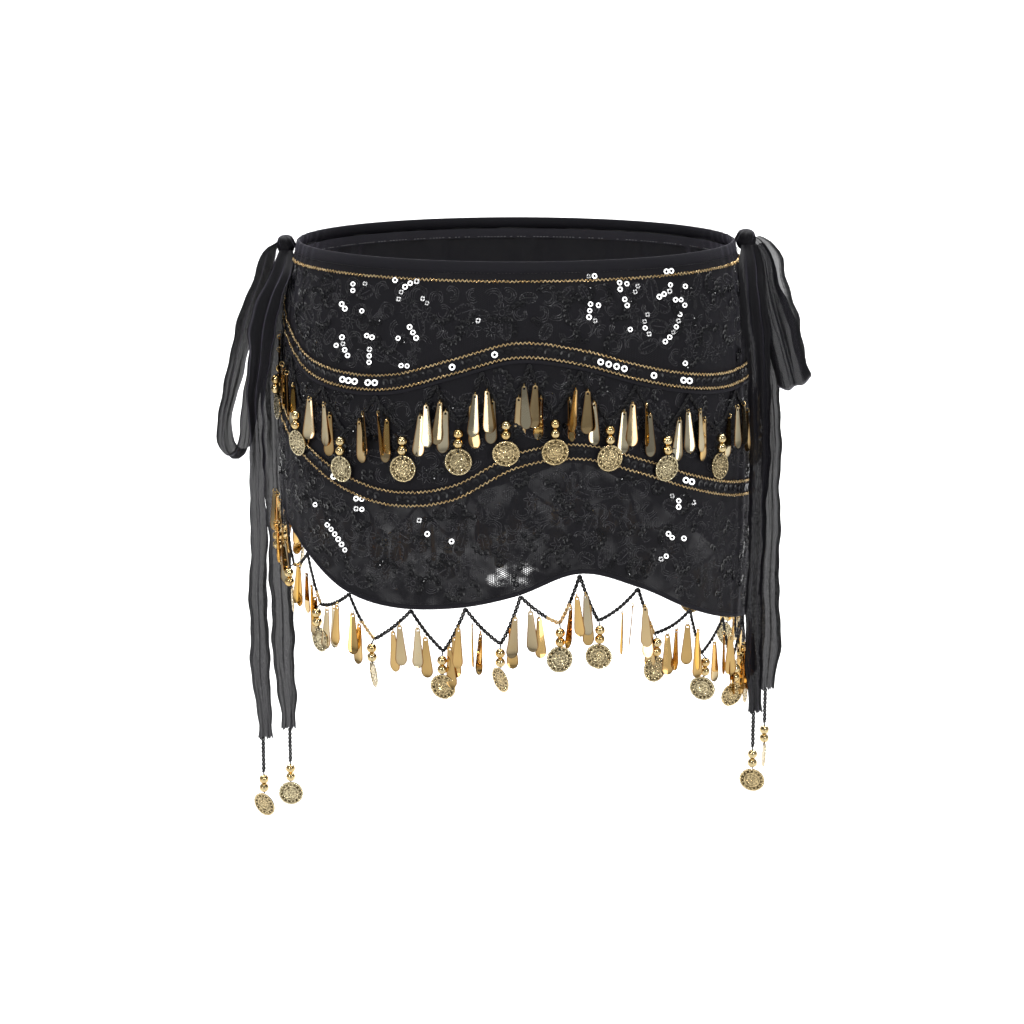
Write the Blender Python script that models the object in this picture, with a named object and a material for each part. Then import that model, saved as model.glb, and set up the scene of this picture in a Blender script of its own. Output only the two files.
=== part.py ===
# Belly dance hip skirt: a curved hip wrap with bead bands, coin fringes and two side ties.
# Lengths in the tables are millimetres. Angles are degrees round the hips: 0 is the middle of
# the front, 90 the right hip and -90 the left hip as seen from the front.
# The origin is the middle of the waist opening, at half the height of the waistband.
# +X is to the right as seen from the front, +Y towards the back, +Z up.

import math
from collections import namedtuple

import bmesh
import bpy
from mathutils import Vector

MM = 0.001

# Cloth walls and the gaps between pieces
CLOTH = 1.2
SEAM_GAP = 0.3
SEAM_ANGLE = 0.08
SMALL_ANGLE = 0.5
COLUMN_STEP = 6
COLUMN_CLEAR = 0.5
LAYER_GAP = 0.4

# Waistband
BAND_TOP = 4.0
BAND_BOTTOM = -4.0
BAND_OUT = 0.7
BAND_IN = -1.9

# Beaded bands
BEAD_BAND_HALF = 6.0
BEAD_BAND_THICK = 1.0

# Rolled hem and the narrow strip under the upper beaded band
HEM_HEIGHT = 3.0
HEM_THICK = 2.0
STRIP_HEIGHT = 2.4
STRIP_THICK = 1.2

# Lining of the upper back: its columns, the depth of its gathers at each part of its height from
# the top, and how far it ends above the middle of the upper beaded band
LINING_STEP = 4
LINING_WAVES_ROUND = 30
GATHER_COLUMNS = ("part", "depth")
GATHERS = ((0.0, 0.35), (0.5, 0.65), (1.0, 0.9))
LINING_RISE = 9.0

# The hem runs higher at the back than at the front, and eases in over this many degrees from each hip
BACK_RISE = 24.0
BACK_RISE_RUN = 35.0

# Soft flutes of the cloth, which deepen towards the hem
FLUTE_START = -25.0
FLUTE_END = -250.0
FLUTE_DEPTH = 2.4
FLUTE_GROWTH = 1.3
FLUTE_COLUMNS = ("waves_round", "share", "shift")
FLUTES = ((9, 0.5, 0.6), (5, 0.3, -1.1), (12, 0.2, 2.0))

# Body of the skirt: half width and half depth of the opening at each height, from below the hem up
BODY_COLUMNS = ("height", "half_width", "half_depth")
BODY = (
    (-330, 161.0, 116.0),
    (-260, 163.2, 118.0),
    (-210, 165.4, 120.5),
    (-150, 166.2, 121.5),
    (-90, 163.3, 119.0),
    (-37, 159.6, 115.5),
    (-10, 154.6, 112.0),
    (4, 151.0, 109.0),
)

# Heights of the two beaded bands and of the hem, from the left hip round the front
LINE_COLUMNS = ("angle", "upper_band", "lower_band", "hem")
LINES = (
    (-90, -42.0, -102.0, -163.0),
    (-75, -55.5, -115.5, -184.5),
    (-60, -73.0, -132.5, -207.0),
    (-45, -79.0, -147.5, -225.5),
    (-30, -77.0, -156.2, -233.5),
    (-15, -65.0, -150.0, -230.5),
    (0, -53.5, -127.0, -220.5),
    (15, -58.5, -121.8, -206.0),
    (30, -70.8, -134.0, -218.5),
    (45, -80.0, -149.0, -238.0),
    (60, -84.3, -159.6, -251.6),
    (75, -83.2, -165.0, -259.0),
    (90, -82.0, -166.5, -262.0),
)

# Angles at which the bead strings of a fringe are sewn on
UPPER_SEWN = (-89.3, -71, -53, -35, -19, -8, 3, 15, 29, 45, 66, 89.3)
LOWER_SEWN = (-89.3, -76, -61, -43.5, -26, -12, 1, 15, 30, 47, 63, 76.5, 89.3)

# Turn of each coin of the front fringes about its string, from the left hip
UPPER_TURNS = (0, 0, 0, 0, 0, 0, 0, 0, 0, 0, 0)
LOWER_TURNS = (0, 10, 0, 80, 5, 50, 0, 20, 0, 65, 10, 0)

# Bead strings: two hang as a V from each pair of sewn points. The lean is the share of the swing
# towards the higher point that a V takes: the upper ones lie on the cloth and hardly swing.
STRING_LENGTH = 36.0
STRING_WIDTH = 1.8
STRING_THICK = 1.1
LEAST_SPAN = 13.5
UPPER_LEAN = 0.1
LOWER_LEAN = 1.0
LEAST_DROP = 22.0
SEWN_HALF = 1.9
SEWN_DROP = 1.6
SEWN_END = 0.45
FORK_RISE = 2.3

# Mirror drops: two on each string, at these parts of its length. Neighbours that overlap hang in
# layers, given as distances out from the strings' back.
DROP_PLACES = (0.24, 0.46)
DROP_ROOT = 0.9
DROP_LENGTH = 31.0
DROP_WIDTH = 7.5
DROP_THICK = 0.6
DROP_WIDEST = 0.76
INNER_DROPS = (3.3, 1.65)
OUTER_DROPS = (4.8, 1.65)

# Coin and its two beads
BEAD = 6.4
BEAD_NECK = 1.5
BEAD_START = 2.4
COIN = 18.0
COIN_THICK = 1.0
COIN_START = BEAD_START + 2 * BEAD + 0.6
COIN_LAYER = 3.3
BEAD_LAYER = 4.8

# Coin strand: distance below the fork, width, depth, share of the turn, and distance out
STRAND_COLUMNS = ("below", "width", "depth", "turn_share", "layer")
STRAND = (
    (BEAD_START, BEAD_NECK, BEAD_NECK, 0.2, 2.8),
    (BEAD_START + BEAD * 0.5, BEAD, BEAD, 0.3, BEAD_LAYER),
    (BEAD_START + BEAD, BEAD_NECK, BEAD_NECK, 0.5, BEAD_LAYER),
    (BEAD_START + BEAD * 1.5, BEAD, BEAD, 0.7, BEAD_LAYER),
    (BEAD_START + BEAD * 2, BEAD_NECK, BEAD_NECK, 0.9, BEAD_LAYER),
    (COIN_START + COIN * 0.26, COIN * 0.9, COIN_THICK, 1.0, COIN_LAYER),
    (COIN_START + COIN * 0.74, COIN * 0.9, COIN_THICK, 1.0, COIN_LAYER),
    (COIN_START + COIN, COIN * 0.36, COIN_THICK, 1.0, COIN_LAYER),
)

# Knots of the side ties: middle and half sizes
KNOT_COLUMNS = ("name", "across", "back", "height", "half_across", "half_deep", "half_high")
KNOTS = (
    ("knot_left", -159.5, 0.0, -0.5, 6.0, 6.6, 6.8),
    ("knot_right", 159.2, 0.0, 3.2, 6.6, 7.0, 7.2),
)
KNOT_SIDES = 14
KNOT_RINGS = 6
KNOT_PLEAT = 0.07

# Ribbons of the side ties: middle line from the knot down, true width, depth of the folds, and
# the turn about the vertical from facing the front to lying along the hip
RIBBON_COLUMNS = ("across", "back", "height", "width", "fold", "turn")
RIBBON_THICK = 1.1
TAIL_LEFT_OUTER = (
    (-159.2, -7.1, -3.5, 9.0, 0.5, 0),
    (-161.8, -18.0, -17.0, 20.0, 1.2, 46),
    (-169.0, -22.5, -34.0, 26.0, 1.6, 42),
    (-175.5, -23.0, -57.0, 26.0, 1.8, 40),
    (-178.0, -22.0, -80.0, 22.0, 1.8, 38),
    (-181.0, -19.0, -104.0, 15.0, 1.8, 30),
    (-181.5, -16.0, -128.0, 12.0, 1.6, 20),
    (-181.5, -12.0, -195.0, 12.5, 1.6, 10),
    (-183.0, -10.0, -253.0, 13.0, 1.6, 0),
    (-183.0, -8.0, -298.0, 14.0, 1.8, 0),
    (-181.0, -8.0, -330.0, 12.0, 1.8, 0),
    (-180.5, -8.0, -356.0, 6.0, 1.2, 0),
)
TAIL_LEFT_INNER = (
    (-159.2, 7.4, -3.5, 8.0, 0.5, 0),
    (-164.0, 20.0, -20.0, 12.0, 1.2, 0),
    (-167.5, 29.0, -45.0, 15.0, 1.6, 0),
    (-173.0, 40.0, -119.0, 16.0, 1.8, 0),
    (-173.0, 44.0, -193.0, 16.5, 1.8, 0),
    (-171.5, 45.0, -238.0, 16.5, 1.8, 0),
    (-171.0, 45.0, -284.0, 16.5, 1.8, 0),
    (-170.0, 45.0, -314.0, 16.0, 1.8, 0),
    (-168.5, 45.0, -345.0, 13.0, 1.6, 0),
    (-168.0, 45.0, -366.0, 6.0, 1.2, 0),
)
TAIL_RIGHT_INNER = (
    (160.0, -7.6, 0.5, 9.0, 0.5, 0),
    (162.0, -19.0, -14.0, 15.0, 1.2, -35),
    (164.5, -28.0, -38.0, 18.0, 1.4, -25),
    (168.0, -34.5, -78.0, 13.5, 1.6, -15),
    (169.5, -38.0, -104.0, 11.5, 1.6, 0),
    (169.5, -38.5, -159.0, 11.0, 1.6, 0),
    (167.5, -38.0, -217.0, 11.0, 1.6, 0),
    (167.0, -38.0, -260.0, 12.0, 1.6, 0),
    (167.0, -38.0, -289.0, 12.0, 1.8, 0),
    (169.0, -38.0, -311.0, 10.0, 1.6, 0),
    (169.5, -38.0, -327.0, 6.0, 1.2, 0),
)
TAIL_RIGHT_OUTER = (
    (160.5, 7.6, 0.5, 8.0, 0.5, 0),
    (166.0, 14.5, -20.0, 12.0, 1.2, 0),
    (171.0, 18.0, -50.0, 13.0, 1.6, 0),
    (179.5, 21.0, -107.0, 15.0, 1.8, 0),
    (182.0, 21.0, -151.0, 14.0, 1.8, 0),
    (183.0, 21.0, -202.0, 13.0, 1.6, 0),
    (183.5, 21.0, -262.0, 14.0, 1.8, 0),
    (184.5, 21.0, -292.0, 15.0, 1.8, 0),
    (184.0, 21.0, -312.0, 13.0, 1.6, 0),
    (183.0, 21.0, -328.0, 6.0, 1.2, 0),
)

# Bow loops: middle line out from the knot, round the end and back, and the direction of the width
LOOP_COLUMNS = ("across", "back", "height", "width")
LOOP_LEFT = (
    (-166.8, 2.0, -2.0, 6.0),
    (-172.5, 4.0, -8.0, 12.0),
    (-177.5, 7.0, -25.0, 18.0),
    (-186.5, 9.5, -49.0, 22.0),
    (-193.5, 11.0, -74.0, 25.0),
    (-200.5, 12.5, -104.0, 27.0),
    (-206.0, 13.0, -124.0, 28.0),
    (-206.5, 13.0, -141.0, 28.0),
    (-201.0, 13.0, -150.0, 28.0),
    (-194.0, 13.0, -147.5, 28.0),
    (-190.5, 12.5, -136.0, 27.0),
    (-188.0, 12.0, -114.0, 25.0),
    (-183.5, 11.0, -84.0, 22.0),
    (-177.0, 9.0, -52.0, 17.0),
    (-169.5, 6.5, -24.0, 12.0),
    (-164.5, 4.5, -10.0, 6.0),
)
LOOP_RIGHT = (
    (167.7, -2.6, -1.0, 8.0),
    (174.0, -4.0, -13.0, 20.0),
    (177.5, -5.0, -33.0, 27.0),
    (182.0, -5.5, -53.0, 29.0),
    (187.5, -6.0, -71.0, 30.0),
    (192.5, -6.0, -87.0, 30.0),
    (195.0, -4.5, -94.0, 30.0),
    (196.0, 0.5, -97.0, 30.0),
    (195.5, 6.0, -94.5, 30.0),
    (192.5, 9.0, -86.0, 29.0),
    (186.5, 10.5, -68.0, 27.0),
    (180.5, 9.5, -46.0, 22.0),
    (176.5, 7.5, -28.0, 15.0),
    (172.8, 4.5, -12.0, 8.0),
)
LOOP_LEFT_ACROSS = (0.37, 0.93, 0.0)
LOOP_RIGHT_ACROSS = (0.956, 0.0, 0.29)

# Folds of a gathered ribbon across its width: share of the width, and share of the fold depth
FOLD_COLUMNS = ("across", "fold")
TAIL_FOLDS = ((-0.5, 0.3), (-0.3, -1.0), (-0.08, 0.8), (0.15, -0.8), (0.34, 1.0), (0.5, -0.2))
LOOP_FOLDS = ((-0.5, 0.0), (-0.22, 0.9), (0.06, -0.9), (0.3, 0.7), (0.5, -0.2))
LOOP_FOLD = 1.3

# Coins at the tail ends: place of the string, and the turn of the coin
TIE_DROP_COLUMNS = ("name", "across", "back", "top", "turn")
TIE_DROPS = (
    ("drop_left_outer", -182.0, -8.0, -356.4, 30),
    ("drop_left_inner", -167.0, 45.0, -366.4, 0),
    ("drop_right_inner", 168.0, -38.0, -327.4, 10),
    ("drop_right_outer", 181.5, 21.0, -328.4, 85),
)
TIE_STRING = 26.0

# Colours, roughness and metallic of the parts
BLACK_CLOTH = ((0.012, 0.012, 0.014), 0.75, 0.0)
SHEER_CLOTH = ((0.020, 0.020, 0.024), 0.70, 0.0)
BINDING_CLOTH = ((0.008, 0.008, 0.009), 0.80, 0.0)
RIBBON_CLOTH = ((0.035, 0.035, 0.040), 0.65, 0.0)
BEAD_BAND = ((0.160, 0.140, 0.100), 0.35, 0.4)
GOLD = ((0.830, 0.620, 0.240), 0.25, 1.0)


def clear_scene():
    for thing in list(bpy.data.objects):
        bpy.data.objects.remove(thing, do_unlink=True)


def finish(name, points, faces, look):
    """Makes one closed body from points in millimetres, with its faces turned outwards."""
    mesh = bpy.data.meshes.new(name)
    mesh.from_pydata([Vector(p) * MM for p in points], [], faces)
    body = bmesh.new()
    body.from_mesh(mesh)
    bmesh.ops.recalc_face_normals(body, faces=body.faces)
    for face in body.faces:
        face.smooth = True
    body.to_mesh(mesh)
    body.free()
    colour, roughness, metallic = look
    material = bpy.data.materials.new(name + "_material")
    material.use_nodes = True
    shader = material.node_tree.nodes["Principled BSDF"]
    shader.inputs["Base Color"].default_value = (*colour, 1.0)
    shader.inputs["Roughness"].default_value = roughness
    shader.inputs["Metallic"].default_value = metallic
    mesh.materials.append(material)
    thing = bpy.data.objects.new(name, mesh)
    bpy.context.scene.collection.objects.link(thing)
    return thing


def smooth_read(rows, column, at):
    """Reads a column of a table between its rows, with no kinks and level at both ends."""
    keys = [row[0] for row in rows]
    values = [row[column] for row in rows]
    if at <= keys[0]:
        return values[0]
    if at >= keys[-1]:
        return values[-1]
    i = max(k for k in range(len(keys) - 1) if keys[k] <= at)
    span = keys[i + 1] - keys[i]
    part = (at - keys[i]) / span
    start = slope_at(keys, values, i) * span
    end = slope_at(keys, values, i + 1) * span
    rise = values[i + 1] - values[i]
    bend = 3 * rise - 2 * start - end + part * (start + end - 2 * rise)
    return values[i] + part * (start + part * bend)


def slope_at(keys, values, i):
    if i in (0, len(keys) - 1):
        return 0.0
    return (values[i + 1] - values[i - 1]) / (keys[i + 1] - keys[i - 1])


def front_angle(angle):
    """The front angle with the same height of bands and hem: the back mirrors the front."""
    return 180 - angle if angle > 90 else angle


def back_rise(angle):
    part = min(1.0, max(0.0, (90 - abs(angle - 180)) / BACK_RISE_RUN))
    return BACK_RISE * part * part * (3 - 2 * part)


def line_height(name, angle):
    height = smooth_read(LINES, LINE_COLUMNS.index(name), front_angle(angle))
    return height + back_rise(angle) if name == "hem" else height


def flute(angle, height):
    """How far the soft flutes push the cloth out at a place."""
    deep = min(1.0, max(0.0, (FLUTE_START - height) / (FLUTE_START - FLUTE_END)))
    a = math.radians(angle)
    wave = sum(share * math.cos(waves_round * a + shift) for waves_round, share, shift in FLUTES)
    return FLUTE_DEPTH * deep**FLUTE_GROWTH * wave


def on_body(angle, height, out=0.0):
    """The point at an angle and height, a distance outside the face of the cloth."""
    a = math.radians(angle)
    half_width = smooth_read(BODY, BODY_COLUMNS.index("half_width"), height)
    half_depth = smooth_read(BODY, BODY_COLUMNS.index("half_depth"), height)
    outward = Vector((half_depth * math.sin(a), -half_width * math.cos(a), 0)).normalized()
    base = Vector((half_width * math.sin(a), -half_depth * math.cos(a), height))
    return base + outward * (out + flute(angle, height))


def along(angle, height):
    """Direction of growing angle on the body."""
    step = on_body(angle + SMALL_ANGLE, height) - on_body(angle - SMALL_ANGLE, height)
    return Vector((step.x, step.y, 0)).normalized()


def millimetres_per_degree(angle, height):
    step = on_body(angle + SMALL_ANGLE, height) - on_body(angle - SMALL_ANGLE, height)
    return step.length / (2 * SMALL_ANGLE)


def half_angles(half, step):
    """Columns of the front or back half, from hip to hip, a little short of the side seams."""
    start = -90 if half == "front" else 90
    columns = [start + step * k for k in range(180 // step + 1)]
    columns[0] += SEAM_ANGLE
    columns[-1] -= SEAM_ANGLE
    return columns


def close_sheet(name, outer, inner, look):
    """Joins two grids of points, a row for each height, into one closed wall."""
    rows, columns = len(outer), len(outer[0])
    points = [p for row in outer for p in row] + [p for row in inner for p in row]
    back = rows * columns
    faces = []
    for r in range(rows - 1):
        for c in range(columns - 1):
            a, b = r * columns + c, (r + 1) * columns + c
            faces.append((a, b, b + 1, a + 1))
            faces.append((back + a, back + a + 1, back + b + 1, back + b))
    rim = list(range(columns))
    rim += [r * columns + columns - 1 for r in range(1, rows)]
    rim += [(rows - 1) * columns + c for c in range(columns - 2, -1, -1)]
    rim += [r * columns for r in range(rows - 2, 0, -1)]
    for k, a in enumerate(rim):
        b = rim[(k + 1) % len(rim)]
        faces.append((a, b, back + b, back + a))
    return finish(name, points, faces, look)


def cloth_columns(start, end):
    """The columns of the cloth between two angles."""
    return [a for a in range(-90, 271, COLUMN_STEP) if start < a < end]


def edge_height(heights, angle):
    """Height of an edge of the cloth, which runs straight from column to column."""
    before = math.floor(angle / COLUMN_STEP) * COLUMN_STEP
    part = (angle - before) / COLUMN_STEP
    return heights(before) * (1 - part) + heights(before + COLUMN_STEP) * part


def body_sheet(name, columns, heights, out, thick, look):
    """A wall on the body. heights gives the height of each row at an angle."""
    rows = list(zip(*[heights(angle) for angle in columns]))
    outer = [[on_body(a, h, out) for a, h in zip(columns, row)] for row in rows]
    inner = [[on_body(a, h, out - thick) for a, h in zip(columns, row)] for row in rows]
    return close_sheet(name, outer, inner, look)


def between(top, bottom, parts):
    return [top + (bottom - top) * k / parts for k in range(1, parts)]


def upper_rows(angle):
    top = BAND_BOTTOM - SEAM_GAP
    band = line_height("upper_band", angle)
    edge = band + BEAD_BAND_HALF
    return [top, *between(top, edge, 2), edge, band + SEAM_GAP / 2]


def middle_rows(angle):
    band = line_height("upper_band", angle)
    lower = line_height("lower_band", angle)
    top, bottom = band - BEAD_BAND_HALF, lower + BEAD_BAND_HALF
    return [band - SEAM_GAP / 2, top, *between(top, bottom, 2), bottom, lower + SEAM_GAP / 2]


def lower_rows(angle):
    band = line_height("lower_band", angle)
    top = band - BEAD_BAND_HALF
    bottom = line_height("hem", angle) + HEM_HEIGHT + SEAM_GAP
    return [band - SEAM_GAP / 2, top, *between(top, bottom, 2), bottom]


def band_rows(name):
    def rows(angle):
        middle = line_height(name, angle)
        return [middle + BEAD_BAND_HALF, middle - BEAD_BAND_HALF]

    return rows


def waistband_rows(angle):
    return [BAND_TOP, BAND_BOTTOM]


def build_cloth(half):
    columns = half_angles(half, COLUMN_STEP)
    body_sheet(half + "_upper", columns, upper_rows, 0.0, CLOTH, BLACK_CLOTH)
    body_sheet(half + "_middle", columns, middle_rows, 0.0, CLOTH, BLACK_CLOTH)
    body_sheet(half + "_lower", columns, lower_rows, 0.0, CLOTH, SHEER_CLOTH)
    body_sheet("waistband_" + half, columns, waistband_rows, BAND_OUT, BAND_OUT - BAND_IN, BINDING_CLOTH)
    band_out = LAYER_GAP + BEAD_BAND_THICK
    body_sheet("upper_band_" + half, columns, band_rows("upper_band"), band_out, BEAD_BAND_THICK, BEAD_BAND)
    body_sheet("lower_band_" + half, columns, band_rows("lower_band"), band_out, BEAD_BAND_THICK, BEAD_BAND)


def build_lining():
    """The gathered lining that shows inside the upper back."""
    columns = half_angles("back", LINING_STEP)
    top = BAND_BOTTOM - SEAM_GAP
    outer, inner = [], []
    for part, depth in GATHERS:
        row_out, row_in = [], []
        for angle in columns:
            bottom = line_height("upper_band", angle) + LINING_RISE
            height = top + (bottom - top) * part
            wave = 0.5 - 0.5 * math.cos(math.radians(angle - 90) * LINING_WAVES_ROUND)
            out = -CLOTH - LAYER_GAP - depth * wave
            row_out.append(on_body(angle, height, out))
            row_in.append(on_body(angle, height, out - CLOTH))
        outer.append(row_out)
        inner.append(row_in)
    close_sheet("lining_back", outer, inner, BINDING_CLOTH)


class Net:
    """A flat net of faces, each point with a front and a back, closed into one body at the end."""

    def __init__(self):
        self.fronts = []
        self.backs = []
        self.faces = []

    def point(self, front, back):
        self.fronts.append(front)
        self.backs.append(back)
        return len(self.fronts) - 1

    def on(self, angle, height, middle, thick):
        front = on_body(angle, height, middle + thick / 2)
        return self.point(front, on_body(angle, height, middle - thick / 2))

    def strip(self, left, right):
        for k in range(len(left) - 1):
            self.faces.append((left[k], left[k + 1], right[k + 1], right[k]))

    def close(self, name, look):
        size = len(self.fronts)
        uses = {}
        for face in self.faces:
            for k, a in enumerate(face):
                b = face[(k + 1) % len(face)]
                uses.setdefault(frozenset((a, b)), []).append((a, b))
        faces = list(self.faces)
        faces += [tuple(size + a for a in reversed(face)) for face in self.faces]
        faces += [(b, a, size + a, size + b) for ends in uses.values() if len(ends) == 1 for a, b in ends]
        return finish(name, self.fronts + self.backs, faces, look)


def ring(net, centre, across, outward, width, depth, turn):
    """Two points of a hanging piece, left and right, turned about the vertical."""
    t = math.radians(turn)
    wide = across * math.cos(t) + outward * math.sin(t)
    deep = outward * math.cos(t) - across * math.sin(t)
    half_deep = deep * depth / 2
    ends = (centre - wide * width / 2, centre + wide * width / 2)
    return [net.point(end + half_deep, end - half_deep) for end in ends]


def coin_strand(net, root, place, base, turn):
    """Two beads and a coin below the fork of a V."""
    angle, height = place
    across = along(angle, height)
    outward = Vector((across.y, -across.x, 0))
    left, right = [root[0]], [root[1]]
    for below, width, depth, turn_share, layer in STRAND:
        centre = on_body(angle, height - below, base + layer)
        a, b = ring(net, centre, across, outward, width, depth, turn * turn_share)
        left.append(a)
        right.append(b)
    net.strip(left, right)


def mirror_drop(net, root, place, layer):
    """A flat drop, widest near its lower end."""
    angle, height = place
    per_degree = millimetres_per_degree(angle, height)
    half = DROP_WIDTH / 2 / per_degree
    wide = height - DROP_LENGTH * DROP_WIDEST
    left = net.on(angle - half, wide, layer, DROP_THICK)
    right = net.on(angle + half, wide, layer, DROP_THICK)
    tip = net.on(angle, height - DROP_LENGTH, layer, DROP_THICK)
    net.strip([root[0], left], [root[1], right])
    net.faces.append((left, tip, right))


def hang(first, second, lean):
    """Angle and height of the fork where two equal strings meet below two sewn points."""
    angle = (first[0] + second[0]) / 2
    scale = millimetres_per_degree(angle, (first[1] + second[1]) / 2)
    across = (second[0] - first[0]) * scale
    rise = second[1] - first[1]
    apart = math.hypot(across, rise)
    drop = math.sqrt(max(STRING_LENGTH**2 - apart**2 / 4, LEAST_DROP**2))
    place = across / 2 + lean * drop * rise / apart
    least = min(LEAST_SPAN, across / 2)
    place = min(max(place, least), across - least)
    return first[0] + place / scale, first[1] + rise / 2 - drop * across / apart


def string_points(net, start, end, layer):
    """The two edges of a string from a sewn point down to the fork, and the roots of its drops."""
    scale = millimetres_per_degree((start[0] + end[0]) / 2, start[1])
    run = Vector(((end[0] - start[0]) * scale, end[1] - start[1]))
    side = Vector((-run.y, run.x)).normalized() * STRING_WIDTH / 2
    if side.y < 0:
        side = -side

    def place(share, edge):
        spot = run * share + edge
        return start[0] + spot.x / scale, start[1] + spot.y

    half_root = DROP_ROOT / run.length
    shares = [share + end for share in DROP_PLACES for end in (-half_root, half_root)]
    upper = [net.on(*place(share, side), layer, STRING_THICK) for share in shares]
    lower = [net.on(*place(share, -side), layer, STRING_THICK) for share in shares]
    return upper, lower, [place(share, -side) for share in DROP_PLACES]


def build_fringe(name, fringe):
    """Bead strings in a zigzag below a narrow strip, with drops on the strings and a coin at each fork."""
    net = Net()
    top, bottom, marks = [], [], []

    def strip_column(angle):
        low = fringe.root_height(angle)
        top.append(net.on(angle, low + fringe.strip_height, fringe.strip_middle, fringe.strip_thick))
        bottom.append(net.on(angle, low, fringe.strip_middle, fringe.strip_thick))
        return bottom[-1]

    sewn = [(angle, fringe.root_height(angle)) for angle in fringe.sewn]
    reached = fringe.sewn[0]
    for angle, height in sewn:
        half = SEWN_HALF / millimetres_per_degree(angle, height)
        first = max(angle - half, fringe.sewn[0] - SEWN_END)
        last = min(angle + half, fringe.sewn[-1] + SEWN_END)
        for column in cloth_columns(reached + COLUMN_CLEAR, first - COLUMN_CLEAR):
            strip_column(column)
        left, right = strip_column(first), strip_column(last)
        low = net.on(angle, height - SEWN_DROP, fringe.strip_middle, STRING_THICK)
        net.faces.append((left, low, right))
        marks.append((left, low, right))
        reached = last
    net.strip(top, bottom)
    for k, turn in enumerate(fringe.turns):
        build_v(net, fringe, sewn[k : k + 2], marks[k : k + 2], turn)
    net.close(name, GOLD)


def build_v(net, fringe, sewn, marks, turn):
    """Two strings from neighbouring sewn points to one fork, with their drops and the coin."""
    layer = fringe.base + STRING_THICK / 2
    angle, height = hang(sewn[0], sewn[1], fringe.lean)
    half = BEAD_NECK / 2 / millimetres_per_degree(angle, height)
    left = net.on(angle - half, height, layer, STRING_THICK)
    right = net.on(angle + half, height, layer, STRING_THICK)
    fork = net.on(angle, height + FORK_RISE, layer, STRING_THICK)
    net.faces.append((left, right, fork))
    for side, end in ((0, left), (1, right)):
        mark_left, mark_low, mark_right = marks[side]
        start = (sewn[side][0], sewn[side][1] - SEWN_DROP / 2)
        upper, lower, roots = string_points(net, start, (angle, height), layer)
        net.strip([mark_left if side else mark_right, *upper, fork], [mark_low, *lower, end])
        for n, spot in enumerate(roots):
            pair = lower[2 * n : 2 * n + 2]
            if side:
                pair = pair[::-1]
            mirror_drop(net, pair, spot, fringe.base + fringe.drop_layers[side][n])
    coin_strand(net, (left, right), (angle, height), fringe.base, turn)


def upper_root(angle):
    band = edge_height(lambda a: line_height("upper_band", a), angle)
    return band - BEAD_BAND_HALF - SEAM_GAP - STRIP_HEIGHT


def lower_root(angle):
    return edge_height(lambda a: line_height("hem", a), angle)


FRINGE_FIELDS = "root_height strip_height strip_middle strip_thick base lean sewn turns drop_layers"
Fringe = namedtuple("Fringe", FRINGE_FIELDS)


def half_fringe(half, sewn, turns, *sizes):
    """The fringe of one half. The back mirrors the front."""
    if half == "front":
        return Fringe(*sizes, sewn, turns, (INNER_DROPS, OUTER_DROPS))
    sewn = [180 - angle for angle in reversed(sewn)]
    turns = [-turn for turn in reversed(turns)]
    return Fringe(*sizes, sewn, turns, (OUTER_DROPS, INNER_DROPS))


def build_fringes(half):
    middle = LAYER_GAP + STRIP_THICK / 2
    sizes = (upper_root, STRIP_HEIGHT, middle, STRIP_THICK, LAYER_GAP, UPPER_LEAN)
    build_fringe("fringe_upper_" + half, half_fringe(half, UPPER_SEWN, UPPER_TURNS, *sizes))
    sizes = (lower_root, HEM_HEIGHT, -CLOTH / 2, HEM_THICK, -CLOTH, LOWER_LEAN)
    build_fringe("fringe_lower_" + half, half_fringe(half, LOWER_SEWN, LOWER_TURNS, *sizes))


def build_knot(name, across, back, height, *half_sizes):
    """A gathered knot: a ball with shallow pleats."""
    side = -1 if across < 0 else 1

    def spot(x, y, z):
        return across + side * half_sizes[0] * x, back + half_sizes[1] * y, height + half_sizes[2] * z

    points, faces = [], []
    for r in range(1, KNOT_RINGS):
        tilt = math.pi * r / KNOT_RINGS
        for s in range(KNOT_SIDES):
            turn = 2 * math.pi * s / KNOT_SIDES
            girth = math.sin(tilt) * (1 + KNOT_PLEAT * (1 if s % 2 else -1))
            points.append(spot(girth * math.cos(turn), girth * math.sin(turn), math.cos(tilt)))
    for r in range(KNOT_RINGS - 2):
        for s in range(KNOT_SIDES):
            a, b = r * KNOT_SIDES + s, r * KNOT_SIDES + (s + 1) % KNOT_SIDES
            faces.append((a, a + KNOT_SIDES, b + KNOT_SIDES, b))
    top = len(points)
    points += [spot(0, 0, 1), spot(0, 0, -1)]
    last = (KNOT_RINGS - 2) * KNOT_SIDES
    for s in range(KNOT_SIDES):
        n = (s + 1) % KNOT_SIDES
        faces.append((top, s, n))
        faces.append((top + 1, last + n, last + s))
    finish(name, points, faces, RIBBON_CLOTH)


def build_tail(name, rows):
    """A ribbon that hangs with folds along it."""
    outer, inner = [], []
    for across, back, height, width, fold, turn in rows:
        t = math.radians(turn)
        wide, deep = Vector((math.cos(t), -math.sin(t), 0)), Vector((math.sin(t), math.cos(t), 0))
        centre = Vector((across, back, height))
        line = [centre + wide * share * width + deep * depth * fold for share, depth in TAIL_FOLDS]
        outer.append([p - deep * RIBBON_THICK / 2 for p in line])
        inner.append([p + deep * RIBBON_THICK / 2 for p in line])
    close_sheet(name, outer, inner, RIBBON_CLOTH)


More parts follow.
